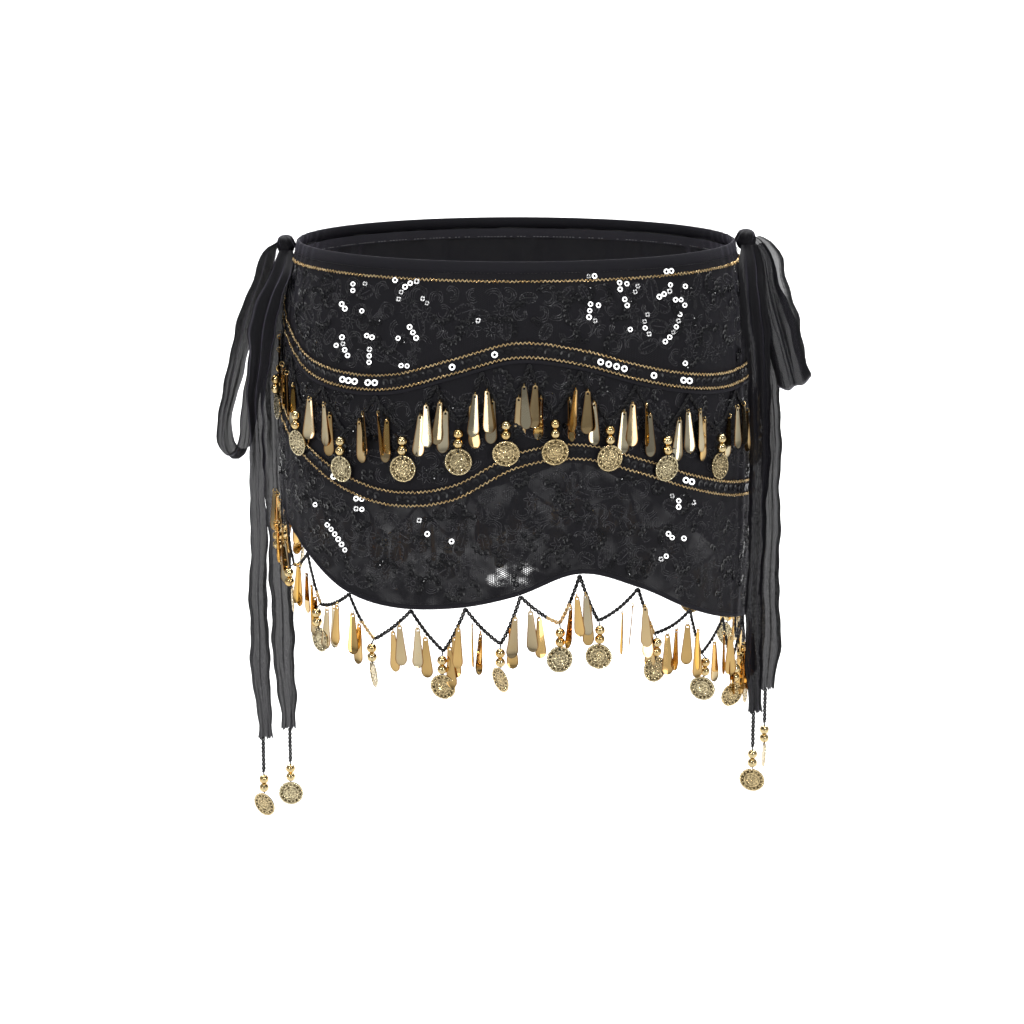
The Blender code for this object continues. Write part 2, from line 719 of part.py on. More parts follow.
def build_loop(name, rows, width_direction):
    """A ribbon bent back on itself, with soft folds along it."""
    centres = [Vector(row[:3]) for row in rows]
    across = Vector(width_direction).normalized()
    outer, inner = [], []
    for k, row in enumerate(rows):
        before, after = centres[max(k - 1, 0)], centres[min(k + 1, len(rows) - 1)]
        face = (after - before).cross(across).normalized()
        folds = [(share * row[3], depth * LOOP_FOLD) for share, depth in LOOP_FOLDS]
        line = [centres[k] + across * side + face * depth for side, depth in folds]
        outer.append([p + face * RIBBON_THICK / 2 for p in line])
        inner.append([p - face * RIBBON_THICK / 2 for p in line])
    close_sheet(name, outer, inner, RIBBON_CLOTH)


def build_tie_drop(name, x, y, top, turn):
    """A bead string from a tail end, with two beads and a coin."""
    net = Net()
    across, outward = Vector((1, 0, 0)), Vector((0, -1, 0))
    ends = (top, top - TIE_STRING)
    pairs = [ring(net, Vector((x, y, end)), across, outward, STRING_WIDTH, STRING_WIDTH, 0) for end in ends]
    for below, width, depth, turn_share, _ in STRAND:
        centre = Vector((x, y, top - TIE_STRING - below))
        pairs.append(ring(net, centre, across, outward, width, depth, turn * turn_share))
    net.strip([a for a, b in pairs], [b for a, b in pairs])
    net.close(name, GOLD)


def build_ties():
    for knot in KNOTS:
        build_knot(*knot)
    build_tail("tail_left_outer", TAIL_LEFT_OUTER)
    build_tail("tail_left_inner", TAIL_LEFT_INNER)
    build_tail("tail_right_inner", TAIL_RIGHT_INNER)
    build_tail("tail_right_outer", TAIL_RIGHT_OUTER)
    build_loop("bow_loop_left", LOOP_LEFT, LOOP_LEFT_ACROSS)
    build_loop("bow_loop_right", LOOP_RIGHT, LOOP_RIGHT_ACROSS)
    for drop in TIE_DROPS:
        build_tie_drop(*drop)


clear_scene()
for half in ("front", "back"):
    build_cloth(half)
    build_fringes(half)
build_lining()
build_ties()
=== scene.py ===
import bisect
import math
import random

import bpy
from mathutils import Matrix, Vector


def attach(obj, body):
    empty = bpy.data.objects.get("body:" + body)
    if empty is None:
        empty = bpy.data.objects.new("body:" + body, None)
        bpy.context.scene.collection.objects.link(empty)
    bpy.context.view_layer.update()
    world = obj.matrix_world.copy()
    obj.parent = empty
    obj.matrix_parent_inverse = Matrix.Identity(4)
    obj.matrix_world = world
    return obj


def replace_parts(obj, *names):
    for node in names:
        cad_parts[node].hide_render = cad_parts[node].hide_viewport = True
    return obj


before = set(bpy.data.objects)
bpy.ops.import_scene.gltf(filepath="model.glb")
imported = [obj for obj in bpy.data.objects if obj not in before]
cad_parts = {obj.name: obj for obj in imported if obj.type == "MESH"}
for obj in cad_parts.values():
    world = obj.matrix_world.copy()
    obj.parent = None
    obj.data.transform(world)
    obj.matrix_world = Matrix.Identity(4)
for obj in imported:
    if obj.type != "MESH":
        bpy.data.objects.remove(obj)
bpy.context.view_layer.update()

# Lengths in the tables are millimetres. Angles are degrees round the hips: 0 is the middle of
# the front, 90 the right hip and -90 the left hip as seen from the front. They repeat the part's.
MM = 0.001

# Body of the skirt: half width and half depth of the opening at each height, from below the hem up
BODY_COLUMNS = ("height", "half_width", "half_depth")
BODY = (
    (-330, 161.0, 116.0),
    (-260, 163.2, 118.0),
    (-210, 165.4, 120.5),
    (-150, 166.2, 121.5),
    (-90, 163.3, 119.0),
    (-37, 159.6, 115.5),
    (-10, 154.6, 112.0),
    (4, 151.0, 109.0),
)

# Heights of the two beaded bands and of the hem on the front, from the left hip to the right
LINE_COLUMNS = ("angle", "upper_band", "lower_band", "hem")
LINES = (
    (-90, -42.0, -102.0, -163.0),
    (-75, -55.5, -115.5, -184.5),
    (-60, -73.0, -132.5, -207.0),
    (-45, -79.0, -147.5, -225.5),
    (-30, -77.0, -156.2, -233.5),
    (-15, -65.0, -150.0, -230.5),
    (0, -53.5, -127.0, -220.5),
    (15, -58.5, -121.8, -206.0),
    (30, -70.8, -134.0, -218.5),
    (45, -80.0, -149.0, -238.0),
    (60, -84.3, -159.6, -251.6),
    (75, -83.2, -165.0, -259.0),
    (90, -82.0, -166.5, -262.0),
)

# The hem runs higher at the back than at the front, and eases in over this many degrees from each hip
BACK_RISE = 24.0
BACK_RISE_RUN = 35.0

# Soft flutes of the cloth, which deepen towards the hem: waves round the body, share and shift
FLUTE_START = -25.0
FLUTE_END = -250.0
FLUTE_DEPTH = 2.4
FLUTE_GROWTH = 1.3
FLUTES = ((9, 0.5, 0.6), (5, 0.3, -1.1), (12, 0.2, 2.0))

# Fine upright gathers at the hips: where on the side they begin, and their waves, share and shift
PUCKER_DEPTH = 0.32
PUCKER_FROM = 0.86
PUCKER_RUN = 0.1
PUCKERS = ((83, 1.0, 0.0), (51, 0.7, 1.0))

# Fringes: where the strings are sewn, and how far each coin turns
UPPER_SEWN = (-89.3, -71, -53, -35, -19, -8, 3, 15, 29, 45, 66, 89.3)
LOWER_SEWN = (-89.3, -76, -61, -43.5, -26, -12, 1, 15, 30, 47, 63, 76.5, 89.3)
UPPER_TURNS = (0,) * 11
LOWER_TURNS = (0, 10, 0, 80, 5, 50, 0, 20, 0, 65, 10, 0)
STRING_LENGTH = 36.0
LEAST_SPAN = 13.5
LEAST_DROP = 22.0
UPPER_LEAN = 0.1
LOWER_LEAN = 1.0
BEAD_BAND_HALF = 6.0
TAPE_DROP = 2.7
DROP_PLACES = (0.24, 0.46)
DROP_LENGTH = 31.0
DROP_WIDTH = 8.2
INNER_DROPS = (3.3, 1.65)
OUTER_DROPS = (4.8, 1.65)
BEAD = 6.4
BEAD_START = 2.4
BEAD_LAYER = 4.8
COIN = 18.0
COIN_START = BEAD_START + 2 * BEAD + 0.6
COIN_LAYER = 3.3
COIN_THICK = 1.0
DROP_THICK = 0.5
STRING_SAG = 2.2

RIGHT = Vector((1, 0, 0))
BACK = Vector((0, 1, 0))
UP = Vector((0, 0, 1))
SHARP_ANGLE = 42


def smooth_read(rows, column, at):
    """Reads a column of a table between its rows, with no kinks and level at both ends."""
    keys = [row[0] for row in rows]
    values = [row[column] for row in rows]
    if at <= keys[0]:
        return values[0]
    if at >= keys[-1]:
        return values[-1]
    i = max(k for k in range(len(keys) - 1) if keys[k] <= at)
    span = keys[i + 1] - keys[i]
    part = (at - keys[i]) / span
    start = slope_at(keys, values, i) * span
    end = slope_at(keys, values, i + 1) * span
    rise = values[i + 1] - values[i]
    bend = 3 * rise - 2 * start - end + part * (start + end - 2 * rise)
    return values[i] + part * (start + part * bend)


def slope_at(keys, values, i):
    """Slope of a column at one of its rows."""
    if i in (0, len(keys) - 1):
        return 0.0
    return (values[i + 1] - values[i - 1]) / (keys[i + 1] - keys[i - 1])


def clamp(value):
    return min(1.0, max(0.0, value))


def back_rise(angle):
    """How much higher the hem is at the back."""
    part = clamp((90 - abs(angle - 180)) / BACK_RISE_RUN)
    return BACK_RISE * part * part * (3 - 2 * part)


def line_height(name, angle):
    """Height of a band or of the hem. The back mirrors the front, but for a higher hem."""
    front = 180 - angle if angle > 90 else angle
    height = smooth_read(LINES, LINE_COLUMNS.index(name), front)
    return height + back_rise(angle) if name == "hem" else height


def at_line(name, above=0.0):
    """A band's or the hem's height as a function of the angle, raised by above."""
    return lambda angle: line_height(name, angle) + above


def at_level(height):
    return lambda angle: height


def flute(angle, height):
    """How far the soft flutes push the cloth out at a place."""
    deep = clamp((FLUTE_START - height) / (FLUTE_START - FLUTE_END))
    a = math.radians(angle)
    wave = sum(share * math.cos(waves * a + shift) for waves, share, shift in FLUTES)
    return FLUTE_DEPTH * deep**FLUTE_GROWTH * wave


def pucker(angle):
    """How far the fine gathers at the hips push the cloth out."""
    a = math.radians(angle)
    share = clamp((abs(math.sin(a)) - PUCKER_FROM) / PUCKER_RUN)
    return PUCKER_DEPTH * share * sum(part * math.sin(waves * a + shift) for waves, part, shift in PUCKERS)


def on_body(angle, height, out=0.0):
    """The point at an angle and height, a distance outside the face of the cloth."""
    a = math.radians(angle)
    half_width = smooth_read(BODY, BODY_COLUMNS.index("half_width"), height)
    half_depth = smooth_read(BODY, BODY_COLUMNS.index("half_depth"), height)
    outward = Vector((half_depth * math.sin(a), -half_width * math.cos(a), 0)).normalized()
    base = Vector((half_width * math.sin(a), -half_depth * math.cos(a), height))
    return base + outward * (out + flute(angle, height) + pucker(angle))


def degree_step(angle, height):
    """The step over the one degree round an angle."""
    return on_body(angle + 0.5, height) - on_body(angle - 0.5, height)


def directions(angle, height):
    """Two level directions on the body: of growing angle, and outward."""
    step = degree_step(angle, height)
    across = Vector((step.x, step.y, 0)).normalized()
    return across, Vector((across.y, -across.x, 0))


def turned(across, outward, degrees):
    """Two directions at right angles, turned in their plane."""
    a = math.radians(degrees)
    return across * math.cos(a) + outward * math.sin(a), outward * math.cos(a) - across * math.sin(a)


def neighbours(path, k):
    """What comes before and after a place on a path. An end is its own neighbour."""
    return path[max(k - 1, 0)], path[min(k + 1, len(path) - 1)]


def circle(centre, side, other, radius, count):
    """Points round a circle, from side towards other."""
    turns = [2 * math.pi * k / count for k in range(count)]
    return [centre + (side * math.cos(turn) + other * math.sin(turn)) * radius for turn in turns]


def flatten(rows):
    return [point for row in rows for point in row]


def ring_faces(rings, sides, flip=False, start=0):
    """Faces between closed rings of points. With flip they face the other way."""
    faces = []
    for r in range(rings - 1):
        for s in range(sides):
            a = start + r * sides + s
            b = start + r * sides + (s + 1) % sides
            faces.append((a, b, b + sides, a + sides) if flip else (a, a + sides, b + sides, b))
    return faces


def ball_faces(rings, sides):
    """Faces of a ball: its rings of points come first, then its top and its bottom."""
    faces = ring_faces(rings, sides)
    top = rings * sides
    last = top - sides
    for s in range(sides):
        n = (s + 1) % sides
        faces += [(top, s, n), (top + 1, last + n, last + s)]
    return faces


class Shape:
    """Points and faces of one piece, in millimetres. Each point has a map place, tone and relief."""

    def __init__(self):
        self.points = []
        self.faces = []
        self.places = []
        self.tones = []
        self.reliefs = []

    def add(self, points, faces, places=None, tone=0.0, relief=None):
        start = len(self.points)
        self.points += points
        self.faces += [tuple(start + a for a in face) for face in faces]
        self.places += places or [(0.0, 0.0)] * len(points)
        self.tones += [tone] * len(points)
        self.reliefs += relief or [0.5] * len(points)

    def grid(self, rows, places, tone=0.0):
        """A surface through rows of points."""
        wide = len(rows[0])
        faces = []
        for r in range(len(rows) - 1):
            for c in range(wide - 1):
                a = r * wide + c
                faces.append((a, a + wide, a + wide + 1, a + 1))
        self.add(flatten(rows), faces, flatten(places), tone)

    def tube(self, path, radius, sides, tone=0.0):
        """A round cord with closed ends along a path."""
        points, places = [], []
        side = (path[1] - path[0]).orthogonal()
        for k, centre in enumerate(path):
            before, after = neighbours(path, k)
            run = (after - before).normalized()
            side = (side - run * side.dot(run)).normalized()
            points += circle(centre, side, run.cross(side), radius, sides)
            places += [(k * 0.5, s / sides) for s in range(sides)]
        last = len(points) - sides
        ends = [tuple(reversed(range(sides))), tuple(range(last, len(points)))]
        self.add(points, ring_faces(len(path), sides, flip=True) + ends, places, tone)

    def build(self, name, material, slot):
        mesh = bpy.data.meshes.new(name)
        mesh.from_pydata([p * MM for p in self.points], [], self.faces)
        mesh.polygons.foreach_set("use_smooth", [True] * len(mesh.polygons))
        mesh.set_sharp_from_angle(angle=math.radians(SHARP_ANGLE))
        layer = mesh.uv_layers.new(name="places")
        layer.data.foreach_set("uv", flatten(self.places[loop.vertex_index] for loop in mesh.loops))
        for name_of, values in (("tone", self.tones), ("relief", self.reliefs)):
            mesh.attributes.new(name_of, "FLOAT", "POINT").data.foreach_set("value", values)
        mesh.materials.append(material)
        thing = bpy.data.objects.new(name, mesh)
        bpy.context.scene.collection.objects.link(thing)
        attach(thing, "root")
        return thing


# Materials

# Tint of the soft shine on the black cloths, and of polished gilt where it turns away
VIOLET = (0.8, 0.74, 1.0, 1.0)
EDGE_GOLD = (0.5, 0.33, 0.14, 1.0)


class Look:
    """One node material and its main shader."""

    def __init__(self, name, roughness=0.5, metallic=0.0, specular=0.5):
        self.material = bpy.data.materials.new(name)
        self.material.use_nodes = True
        self.tree = self.material.node_tree
        self.shader = self.tree.nodes["Principled BSDF"]
        self.set(Roughness=roughness, Metallic=metallic, Specular_IOR_Level=specular)

    def set(self, **values):
        for name, value in values.items():
            self.shader.inputs[name.replace("_", " ")].default_value = value

    def node(self, kind, *inputs, **settings):
        """A node with its settings, whose inputs, in order, are links or values."""
        made = self.tree.nodes.new("ShaderNode" + kind)
        for name, value in settings.items():
            setattr(made, name, value)
        for socket, value in zip(made.inputs, inputs):
            self.feed(socket, value)
        return made

    def feed(self, socket, value):
        if isinstance(value, bpy.types.NodeSocket):
            self.tree.links.new(value, socket)
        else:
            socket.default_value = value

    def math(self, operation, *inputs):
        return self.node("Math", *inputs, operation=operation).outputs[0]

    def plus(self, first, second):
        return self.math("ADD", first, second)

    def times(self, first, second):
        return self.math("MULTIPLY", first, second)

    def vector(self, operation, *inputs):
        return self.node("VectorMath", *inputs, operation=operation).outputs[0]

    def split(self, vector):
        """The first two numbers of a vector."""
        parts = self.node("SeparateXYZ", vector)
        return parts.outputs[0], parts.outputs[1]

    def places(self, scale):
        uv = self.node("UVMap", uv_map="places").outputs[0]
        return self.vector("MULTIPLY", uv, (scale, scale, scale))

    def attribute(self, name):
        return self.node("Attribute", attribute_name=name).outputs["Fac"]

    def noise(self, scale, detail=2.0, vector=None):
        """Noise over the object, or over another vector."""
        made = self.node("TexNoise")
        self.feed(made.inputs["Vector"], vector or self.node("TexCoord").outputs["Object"])
        made.inputs["Scale"].default_value = scale
        made.inputs["Detail"].default_value = detail
        return made.outputs["Fac"]

    def span(self, value, low, high, to_low=0.0, to_high=1.0):
        return self.node("MapRange", value, low, high, to_low, to_high).outputs[0]

    def mix(self, share, first, second):
        """A mix of two colours."""
        made = self.node("Mix", share, data_type="RGBA")
        colours = [socket for socket in made.inputs if socket.type == "RGBA"]
        for socket, value in zip(colours, (first, second)):
            self.feed(socket, (*value, 1) if isinstance(value, tuple) else value)
        return [socket for socket in made.outputs if socket.type == "RGBA"][0]

    def into(self, name, socket):
        self.tree.links.new(socket, self.shader.inputs[name])

    def bump(self, height, distance, strength=1.0):
        made = self.node("Bump")
        made.inputs["Strength"].default_value = strength
        made.inputs["Distance"].default_value = distance
        self.feed(made.inputs["Height"], height)
        self.into("Normal", made.outputs[0])


def net_holes(look, places, wave):
    """A honeycomb pattern: 1 in the holes of the net and 0 on its threads."""
    x, y = look.split(places)
    long_wave = look.math("COSINE", look.times(x, wave))
    half_wave = look.math("COSINE", look.times(x, wave / 2))
    tall_wave = look.math("COSINE", look.times(y, wave * math.sqrt(3) / 2))
    pattern = look.plus(long_wave, look.times(look.times(half_wave, tall_wave), 2.0))
    return look.span(pattern, -0.6, 0.6)


def sheer_patch(look, places, centre, size):
    """A soft patch with a ragged edge: 1 in its middle and 0 outside it."""
    away = look.vector("SUBTRACT", places, (*centre, 0.0))
    even = look.vector("MULTIPLY", away, (1 / size[0], 1 / size[1], 0.0))
    far = look.node("VectorMath", even, operation="LENGTH").outputs["Value"]
    ragged = look.span(look.noise(95.0, 3.0), 0.3, 0.7, -0.5, 0.5)
    return look.span(look.plus(far, ragged), 1.0, 0.35)


def net_material(name, patches):
    """Fine black net. Its patches let light through: middle, half size in millimetres, and how open."""
    look = Look(name, roughness=0.62, specular=0.22)
    look.set(Sheen_Weight=0.06, Sheen_Roughness=0.4, Sheen_Tint=VIOLET)
    places = look.places(1000.0)
    holes = net_holes(look, places, 5.58)
    cloud = look.noise(60.0, 4.0)
    look.into("Base Color", look.mix(cloud, (0.005, 0.0048, 0.0068), (0.014, 0.0132, 0.0175)))
    look.bump(look.plus(look.times(holes, -0.4), cloud), 0.0004, 0.6)
    look.into("Roughness", look.span(cloud, 0.3, 0.7, 0.5, 0.75))
    openness = look.span(cloud, 0.45, 0.75, 0.0, 0.05)
    for centre, size, depth in patches:
        ragged = look.span(look.noise(130.0, 3.0), 0.35, 0.6)
        patch = look.times(sheer_patch(look, places, centre, size), ragged)
        openness = look.plus(openness, look.times(patch, depth))
    look.into("Alpha", look.math("SUBTRACT", 1.0, look.times(holes, openness)))
    return look.material


def woven_material(name, dark, light, thread, specular=0.2, sheen=0.1):
    """A plain fine weave of crossing threads, so many to a metre."""
    look = Look(name, roughness=0.7, specular=specular)
    look.set(Sheen_Weight=sheen, Sheen_Roughness=0.4, Sheen_Tint=VIOLET)
    x, y = look.split(look.places(thread * 2 * math.pi))
    weave = look.times(look.math("SINE", x), look.math("SINE", y))
    cloud = look.noise(45.0, 4.0)
    look.into("Base Color", look.mix(cloud, dark, light))
    look.bump(look.plus(look.times(weave, 0.3), cloud), 0.0003, 0.5)
    look.into("Roughness", look.span(cloud, 0.3, 0.7, 0.55, 0.8))
    return look.material


def chiffon_material():
    """Thin see-through cloth, closer at its edges, its creases and near the knot, with a crepe grain. Where
    it is closer its colour is also painted darker: painted shade of the folds, strongest along the crease
    stripes.
    """
    look = Look("chiffon", roughness=0.6, specular=0.2)
    look.set(Sheen_Weight=0.22, Sheen_Roughness=0.35, Sheen_Tint=VIOLET)
    places = look.places(1000.0)
    across, down = look.split(places)
    grain = look.noise(1400.0)
    crease = look.noise(1.0, 3.0, look.vector("MULTIPLY", places, (0.1, 0.006, 0.0)))
    tone = look.attribute("tone")
    closed = look.span(look.math("ABSOLUTE", across), 19.0, 25.0)
    for share in (look.span(crease, 0.48, 0.57), look.span(down, 130.0, 50.0), tone):
        closed = look.math("MAXIMUM", closed, share)
    most_open = look.span(tone, -1.0, 0.0, 0.15, 0.043)
    opened = look.times(look.math("SUBTRACT", 1.0, closed), most_open)
    thin = look.math("SUBTRACT", look.span(grain, 0.3, 0.7, 0.965, 1.02), opened)
    look.into("Alpha", look.math("MINIMUM", thin, 1.0))
    single = look.mix(grain, (0.006, 0.0058, 0.0085), (0.021, 0.0195, 0.0275))
    # Painted shade: the closed parts take a darker colour than single cloth, the crease stripes most of all.
    look.into("Base Color", look.mix(closed, single, (0.005, 0.0048, 0.0068)))
    look.bump(look.plus(grain, look.times(crease, 3.0)), 0.0002, 0.6)
    return look.material


def thread_material(name, dark, light, roughness, specular=0.4, metallic=0.0):
    """A twisted cord, whose turns show along its length. Its colour is painted darker in the grooves between
    the turns and lighter on their crests, painted shade and highlight, with random tone from noise.
    """
    look = Look(name, roughness=roughness, metallic=metallic, specular=specular)
    x, y = look.split(look.places(1.0))
    twist = look.math("SINE", look.plus(look.times(x, 9.0), look.times(y, 2 * math.pi)))
    cloud = look.noise(180.0, 3.0)
    # Painted shade and highlight: the colour follows the twist's bump, darker in its grooves and lighter on
    # its crests; the noise adds random tone.
    share = look.times(look.span(twist, -1.0, 1.0, 0.45, 1.0), cloud)
    look.into("Base Color", look.mix(look.span(share, 0.15, 0.6), dark, light))
    look.bump(twist, 0.0002, 0.5)
    look.into("Roughness", look.span(cloud, 0.3, 0.7, roughness - 0.1, roughness + 0.1))
    return look.material


def polished_material(name, pale, warm, copper, dull):
    """Polished gilt metal: each piece has its own shade, smudges make it duller, and edges are worn."""
    look = Look(name, metallic=1.0)
    look.set(Specular_Tint=EDGE_GOLD)
    smudge = look.noise(220.0, 4.0)
    shade = look.mix(look.span(look.attribute("tone"), 0.3, 0.85), pale, warm)
    worn = look.mix(look.span(smudge, 0.55, 0.8, 0.0, 0.35), shade, warm)
    look.into("Base Color", look.mix(look.span(look.attribute("relief"), 0.45, 0.05), worn, copper))
    look.into("Roughness", look.span(smudge, 0.35, 0.75, 0.05, dull))
    look.bump(look.noise(900.0), 0.00002, 0.25)
    return look.material


def coin_material():
    """Antique gilt: bright where it is raised, dark in the recesses, with fine struck detail."""
    look = Look("antique_coin", metallic=1.0)
    tarnish = look.noise(420.0, 4.0)
    fine = look.node("TexVoronoi", feature="DISTANCE_TO_EDGE")
    look.feed(fine.inputs["Vector"], look.places(1.0))
    fine.inputs["Scale"].default_value = 620.0
    struck = look.span(fine.outputs["Distance"], 0.02, 0.2)
    raised = look.times(look.attribute("relief"), look.span(struck, 0.0, 1.0, 0.55, 1.0))
    light = look.span(look.plus(raised, look.span(tarnish, 0.3, 0.7, -0.2, 0.2)), -0.02, 0.42)
    shade = look.mix(look.attribute("tone"), (0.88, 0.76, 0.48), (0.86, 0.66, 0.34))
    look.into("Base Color", look.mix(light, (0.09, 0.065, 0.03), shade))
    look.into("Roughness", look.span(light, 0.0, 1.0, 0.36, 0.12))
    look.bump(look.plus(struck, tarnish), 0.0003, 0.8)
    return look.material


def sequin_material():
    """Glossy black foil with a faint scatter of scratches."""
    look = Look("black_sequin", specular=0.45)
    scratch = look.noise(700.0)
    look.into("Base Color", look.mix(scratch, (0.004, 0.004, 0.005), (0.012, 0.012, 0.015)))
    look.into("Roughness", look.span(scratch, 0.3, 0.7, 0.05, 0.12))
    return look.material


def floor_material():
    look = Look("floor_paper", roughness=0.9, specular=0.1)
    look.into("Base Color", look.mix(look.noise(40.0, 3.0), (0.6, 0.6, 0.6), (0.63, 0.63, 0.63)))
    return look.material


SHEER_PATCHES = (
    ((-2.0, -207.0), (15.0, 9.0), 0.95),
    ((-44.0, -192.0), (80.0, 34.0), 0.032),
)
NET = net_material("black_net", ())
SHEER_NET = net_material("sheer_net", SHEER_PATCHES)
BINDING = woven_material("binding_cloth", (0.009, 0.0088, 0.0118), (0.021, 0.02, 0.0262), 1400.0)
LINING = woven_material("lining_cloth", (0.0055, 0.0053, 0.0075), (0.014, 0.0133, 0.0182), 1800.0, 0.4, 0.3)
# Painted light: the casing's cloth is lighter than the binding, standing in for light that the lamps bring
# too little of to the inside of the back waist.
CASING_PAINTED_LIGHT = woven_material("casing_cloth_painted_light", (0.024, 0.0228, 0.03), (0.045, 0.043, 0.054), 1400.0, 0.3, 0.2)
CHIFFON = chiffon_material()
THREAD = thread_material("black_thread", (0.003, 0.003, 0.004), (0.016, 0.016, 0.019), 0.38)
EMBROIDERY = thread_material("black_embroidery", (0.005, 0.005, 0.007), (0.06, 0.058, 0.068), 0.27, 0.8)
PALE_THREAD = thread_material("pale_thread", (0.12, 0.12, 0.125), (0.5, 0.5, 0.52), 0.5)
GOLD_THREAD = thread_material("gold_thread", (0.6, 0.36, 0.13), (1.0, 0.8, 0.46), 0.28, 0.5, 0.75)
DROP_METAL = polished_material("drop_metal", (0.77, 0.69, 0.49), (0.84, 0.55, 0.21), (0.42, 0.22, 0.08), 0.14)
BEAD_METAL = polished_material("bead_metal", (0.89, 0.72, 0.4), (0.88, 0.63, 0.28), (0.42, 0.24, 0.09), 0.13)
COIN_METAL = coin_material()
SEQUIN = sequin_material()


# Cloth

HALVES = (("front", -90), ("back", 90))
CLOTH_STEP = 0.75
CLOTH_ROWS = 22
CLOTH_TOP = -4.0
HEM_TUCK = 2.0
WEAVE_SCALE = 2.6

# Flat cut in metres: the width of each half's panels, and the greatest height of each tier
TIER_CUTS = {"upper": 0.082, "middle": 0.088, "lower": 0.1}
TIER_SLOTS = {"upper": "black_cloth", "middle": "black_cloth", "lower": "sheer_cloth"}


def half_columns(start, step):
    """Angles round one half of the body."""
    return [start + step * k for k in range(round(180 / step) + 1)]


def cloth_place(angle, height):
    """Place on the flat cloth, in metres."""
    return angle * WEAVE_SCALE * MM, height * MM


def body_sheet(angles, row_count, top, bottom, out_at=None):
    """A sheet on the body between two lines. out_at gives its distance outside the cloth's face."""
    shape = Shape()
    rows, places = [], []
    for r in range(row_count + 1):
        part = r / row_count
        spots = [(a, top(a) + (bottom(a) - top(a)) * part) for a in angles]
        rows.append([on_body(a, height, out_at(a, part) if out_at else 0.0) for a, height in spots])
        places.append([cloth_place(a, height) for a, height in spots])
    shape.grid(rows, places)
    return shape


def build_panels(trim):
    """The three cloth panels of each half. trim, the embroidery and sequins of the panels, is not used."""
    edges = (at_level(CLOTH_TOP), at_line("upper_band"), at_line("lower_band"), at_line("hem", HEM_TUCK))
    for half, start in HALVES:
        for n, tier in enumerate(TIER_CUTS):
            shape = body_sheet(half_columns(start, CLOTH_STEP), CLOTH_ROWS, edges[n], edges[n + 1])
            look = SHEER_NET if tier == "lower" else NET
            thing = shape.build(f"{half}_{tier}_cloth", look, TIER_SLOTS[tier])
            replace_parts(thing, f"{half}_{tier}")


# Embroidery and sequins, drawn on the flat cloth as distance along it and height

ARC_HEIGHT = -110.0
THREAD_HALF = 0.3
THREAD_HIGH = 0.28
THREAD_FOOT = 0.03
MOTIF_TOP = -8.0
MOTIF_BOTTOM = -265
MOTIF_APART = 13.0
MOTIF_ROWS = 11.0
MOTIF_STRAY = 2.5
MOTIF_ROOM = 2.6
WAIST_CLEAR = -10.5
BAND_CLEAR = 8.5
TAPE_CLEAR = 9.5
HEM_CLEAR = 6.5
CHAIN_LOOP = 0.95
CHAIN_CHANCE = 0.5
SEQUIN_SIZE = 4.0
BAND_SEQUIN_SIZE = 5.0
SEQUIN_HOLE = 0.4
SEQUIN_STEP = 3.5
BAND_SEQUIN_STEP = 5.3
SEQUIN_SIDES = 12
HALF_BRIGHT = 0.16
GLINT_FROM = 14
GLINT_TO = 62
LEAST_GLINT = 0.17

# Camera and front lamps, in metres. The tilted sequins send the light of one lamp to the camera.
CAMERA_PLACE = (-0.00276, -1.96, 0.285)
KEY_PLACE = (-1.15, -2.05, 1.15)
FILL_PLACE = (1.25, -1.95, 1.0)

# Chains of sequins that catch the light: angle and height of the first, heading in degrees on
# the cloth from sideways to up, how many, and the bow. Whole numbers.
BRIGHT_CHAINS = (
    (-44, -15, -80, 2, 0),
    (-40, -14, 0, 1, 0),
    (-31, -10, 0, 1, 0),
    (-25, -10, -135, 5, 3),
    (-23, -21, -40, 2, 0),
    (-47, -29, -40, 2, 0),
    (-40, -32, 0, 1, 0),
    (-46, -51, -65, 4, 1),
    (-48, -57, 0, 1, 0),
    (-37, -57, -90, 3, 0),
    (-38, -48, -10, 2, 0),
    (-29, -48, 0, 1, 0),
    (-26, -40, -55, 3, 0),
    (-28, -66, 0, 2, 0),
    (-9, -34, 0, 1, 0),
    (18, -6, 0, 2, 0),
    (18, -24, -100, 3, 0),
    (20, -25, 0, 1, 0),
    (19, -35, 0, 1, 0),
    (26, -11, -90, 2, 0),
    (28, -12, 0, 1, 0),
    (31, -14, -125, 2, 0),
    (27, -22, -70, 2, 0),
    (37, -22, 20, 2, 0),
    (41, -15, -110, 2, 0),
    (46, -17, 0, 1, 0),
    (42, -25, -30, 3, -2),
    (33, -33, -88, 4, 3),
    (43, -35, -128, 6, -2),
    (28, -42, 0, 1, 0),
    (44, -68, 0, 1, 0),
    (42, -6, 180, 2, 0),
    (-55, -169, 0, 1, 0),
    (-50, -181, -45, 6, -1),
    (-40, -159, 0, 2, 0),
    (-40, -166, 0, 2, 0),
    (-23, -170, 0, 1, 0),
    (-21, -179, 0, 1, 0),
    (-15, -183, 0, 1, 0),
    (39, -157, 0, 1, 0),
    (41, -161, -90, 2, 0),
    (46, -164, 0, 1, 0),
    (38, -183, -45, 2, 0),
    (43, -188, 0, 1, 0),
    (36, -200, 20, 2, 0),
    (9, -117, -130, 2, 0),
    (9, -128, 0, 1, 0),
)
BRIGHT_STEP = 4.3
BRIGHT_SIZE = 3.8
BRIGHT_HOLE = 0.48

# Sequins of the front bands that catch the light: angle of the first, and how many
BRIGHT_BAND = {
    "upper_band": ((-45, 3), (-37, 2), (-15, 1), (-5, 1), (20, 2), (24, 2), (34, 1), (43, 2)),
    "lower_band": ((-47, 1), (43, 2)),
}
BRIGHT_BAND_STEP = 2.0


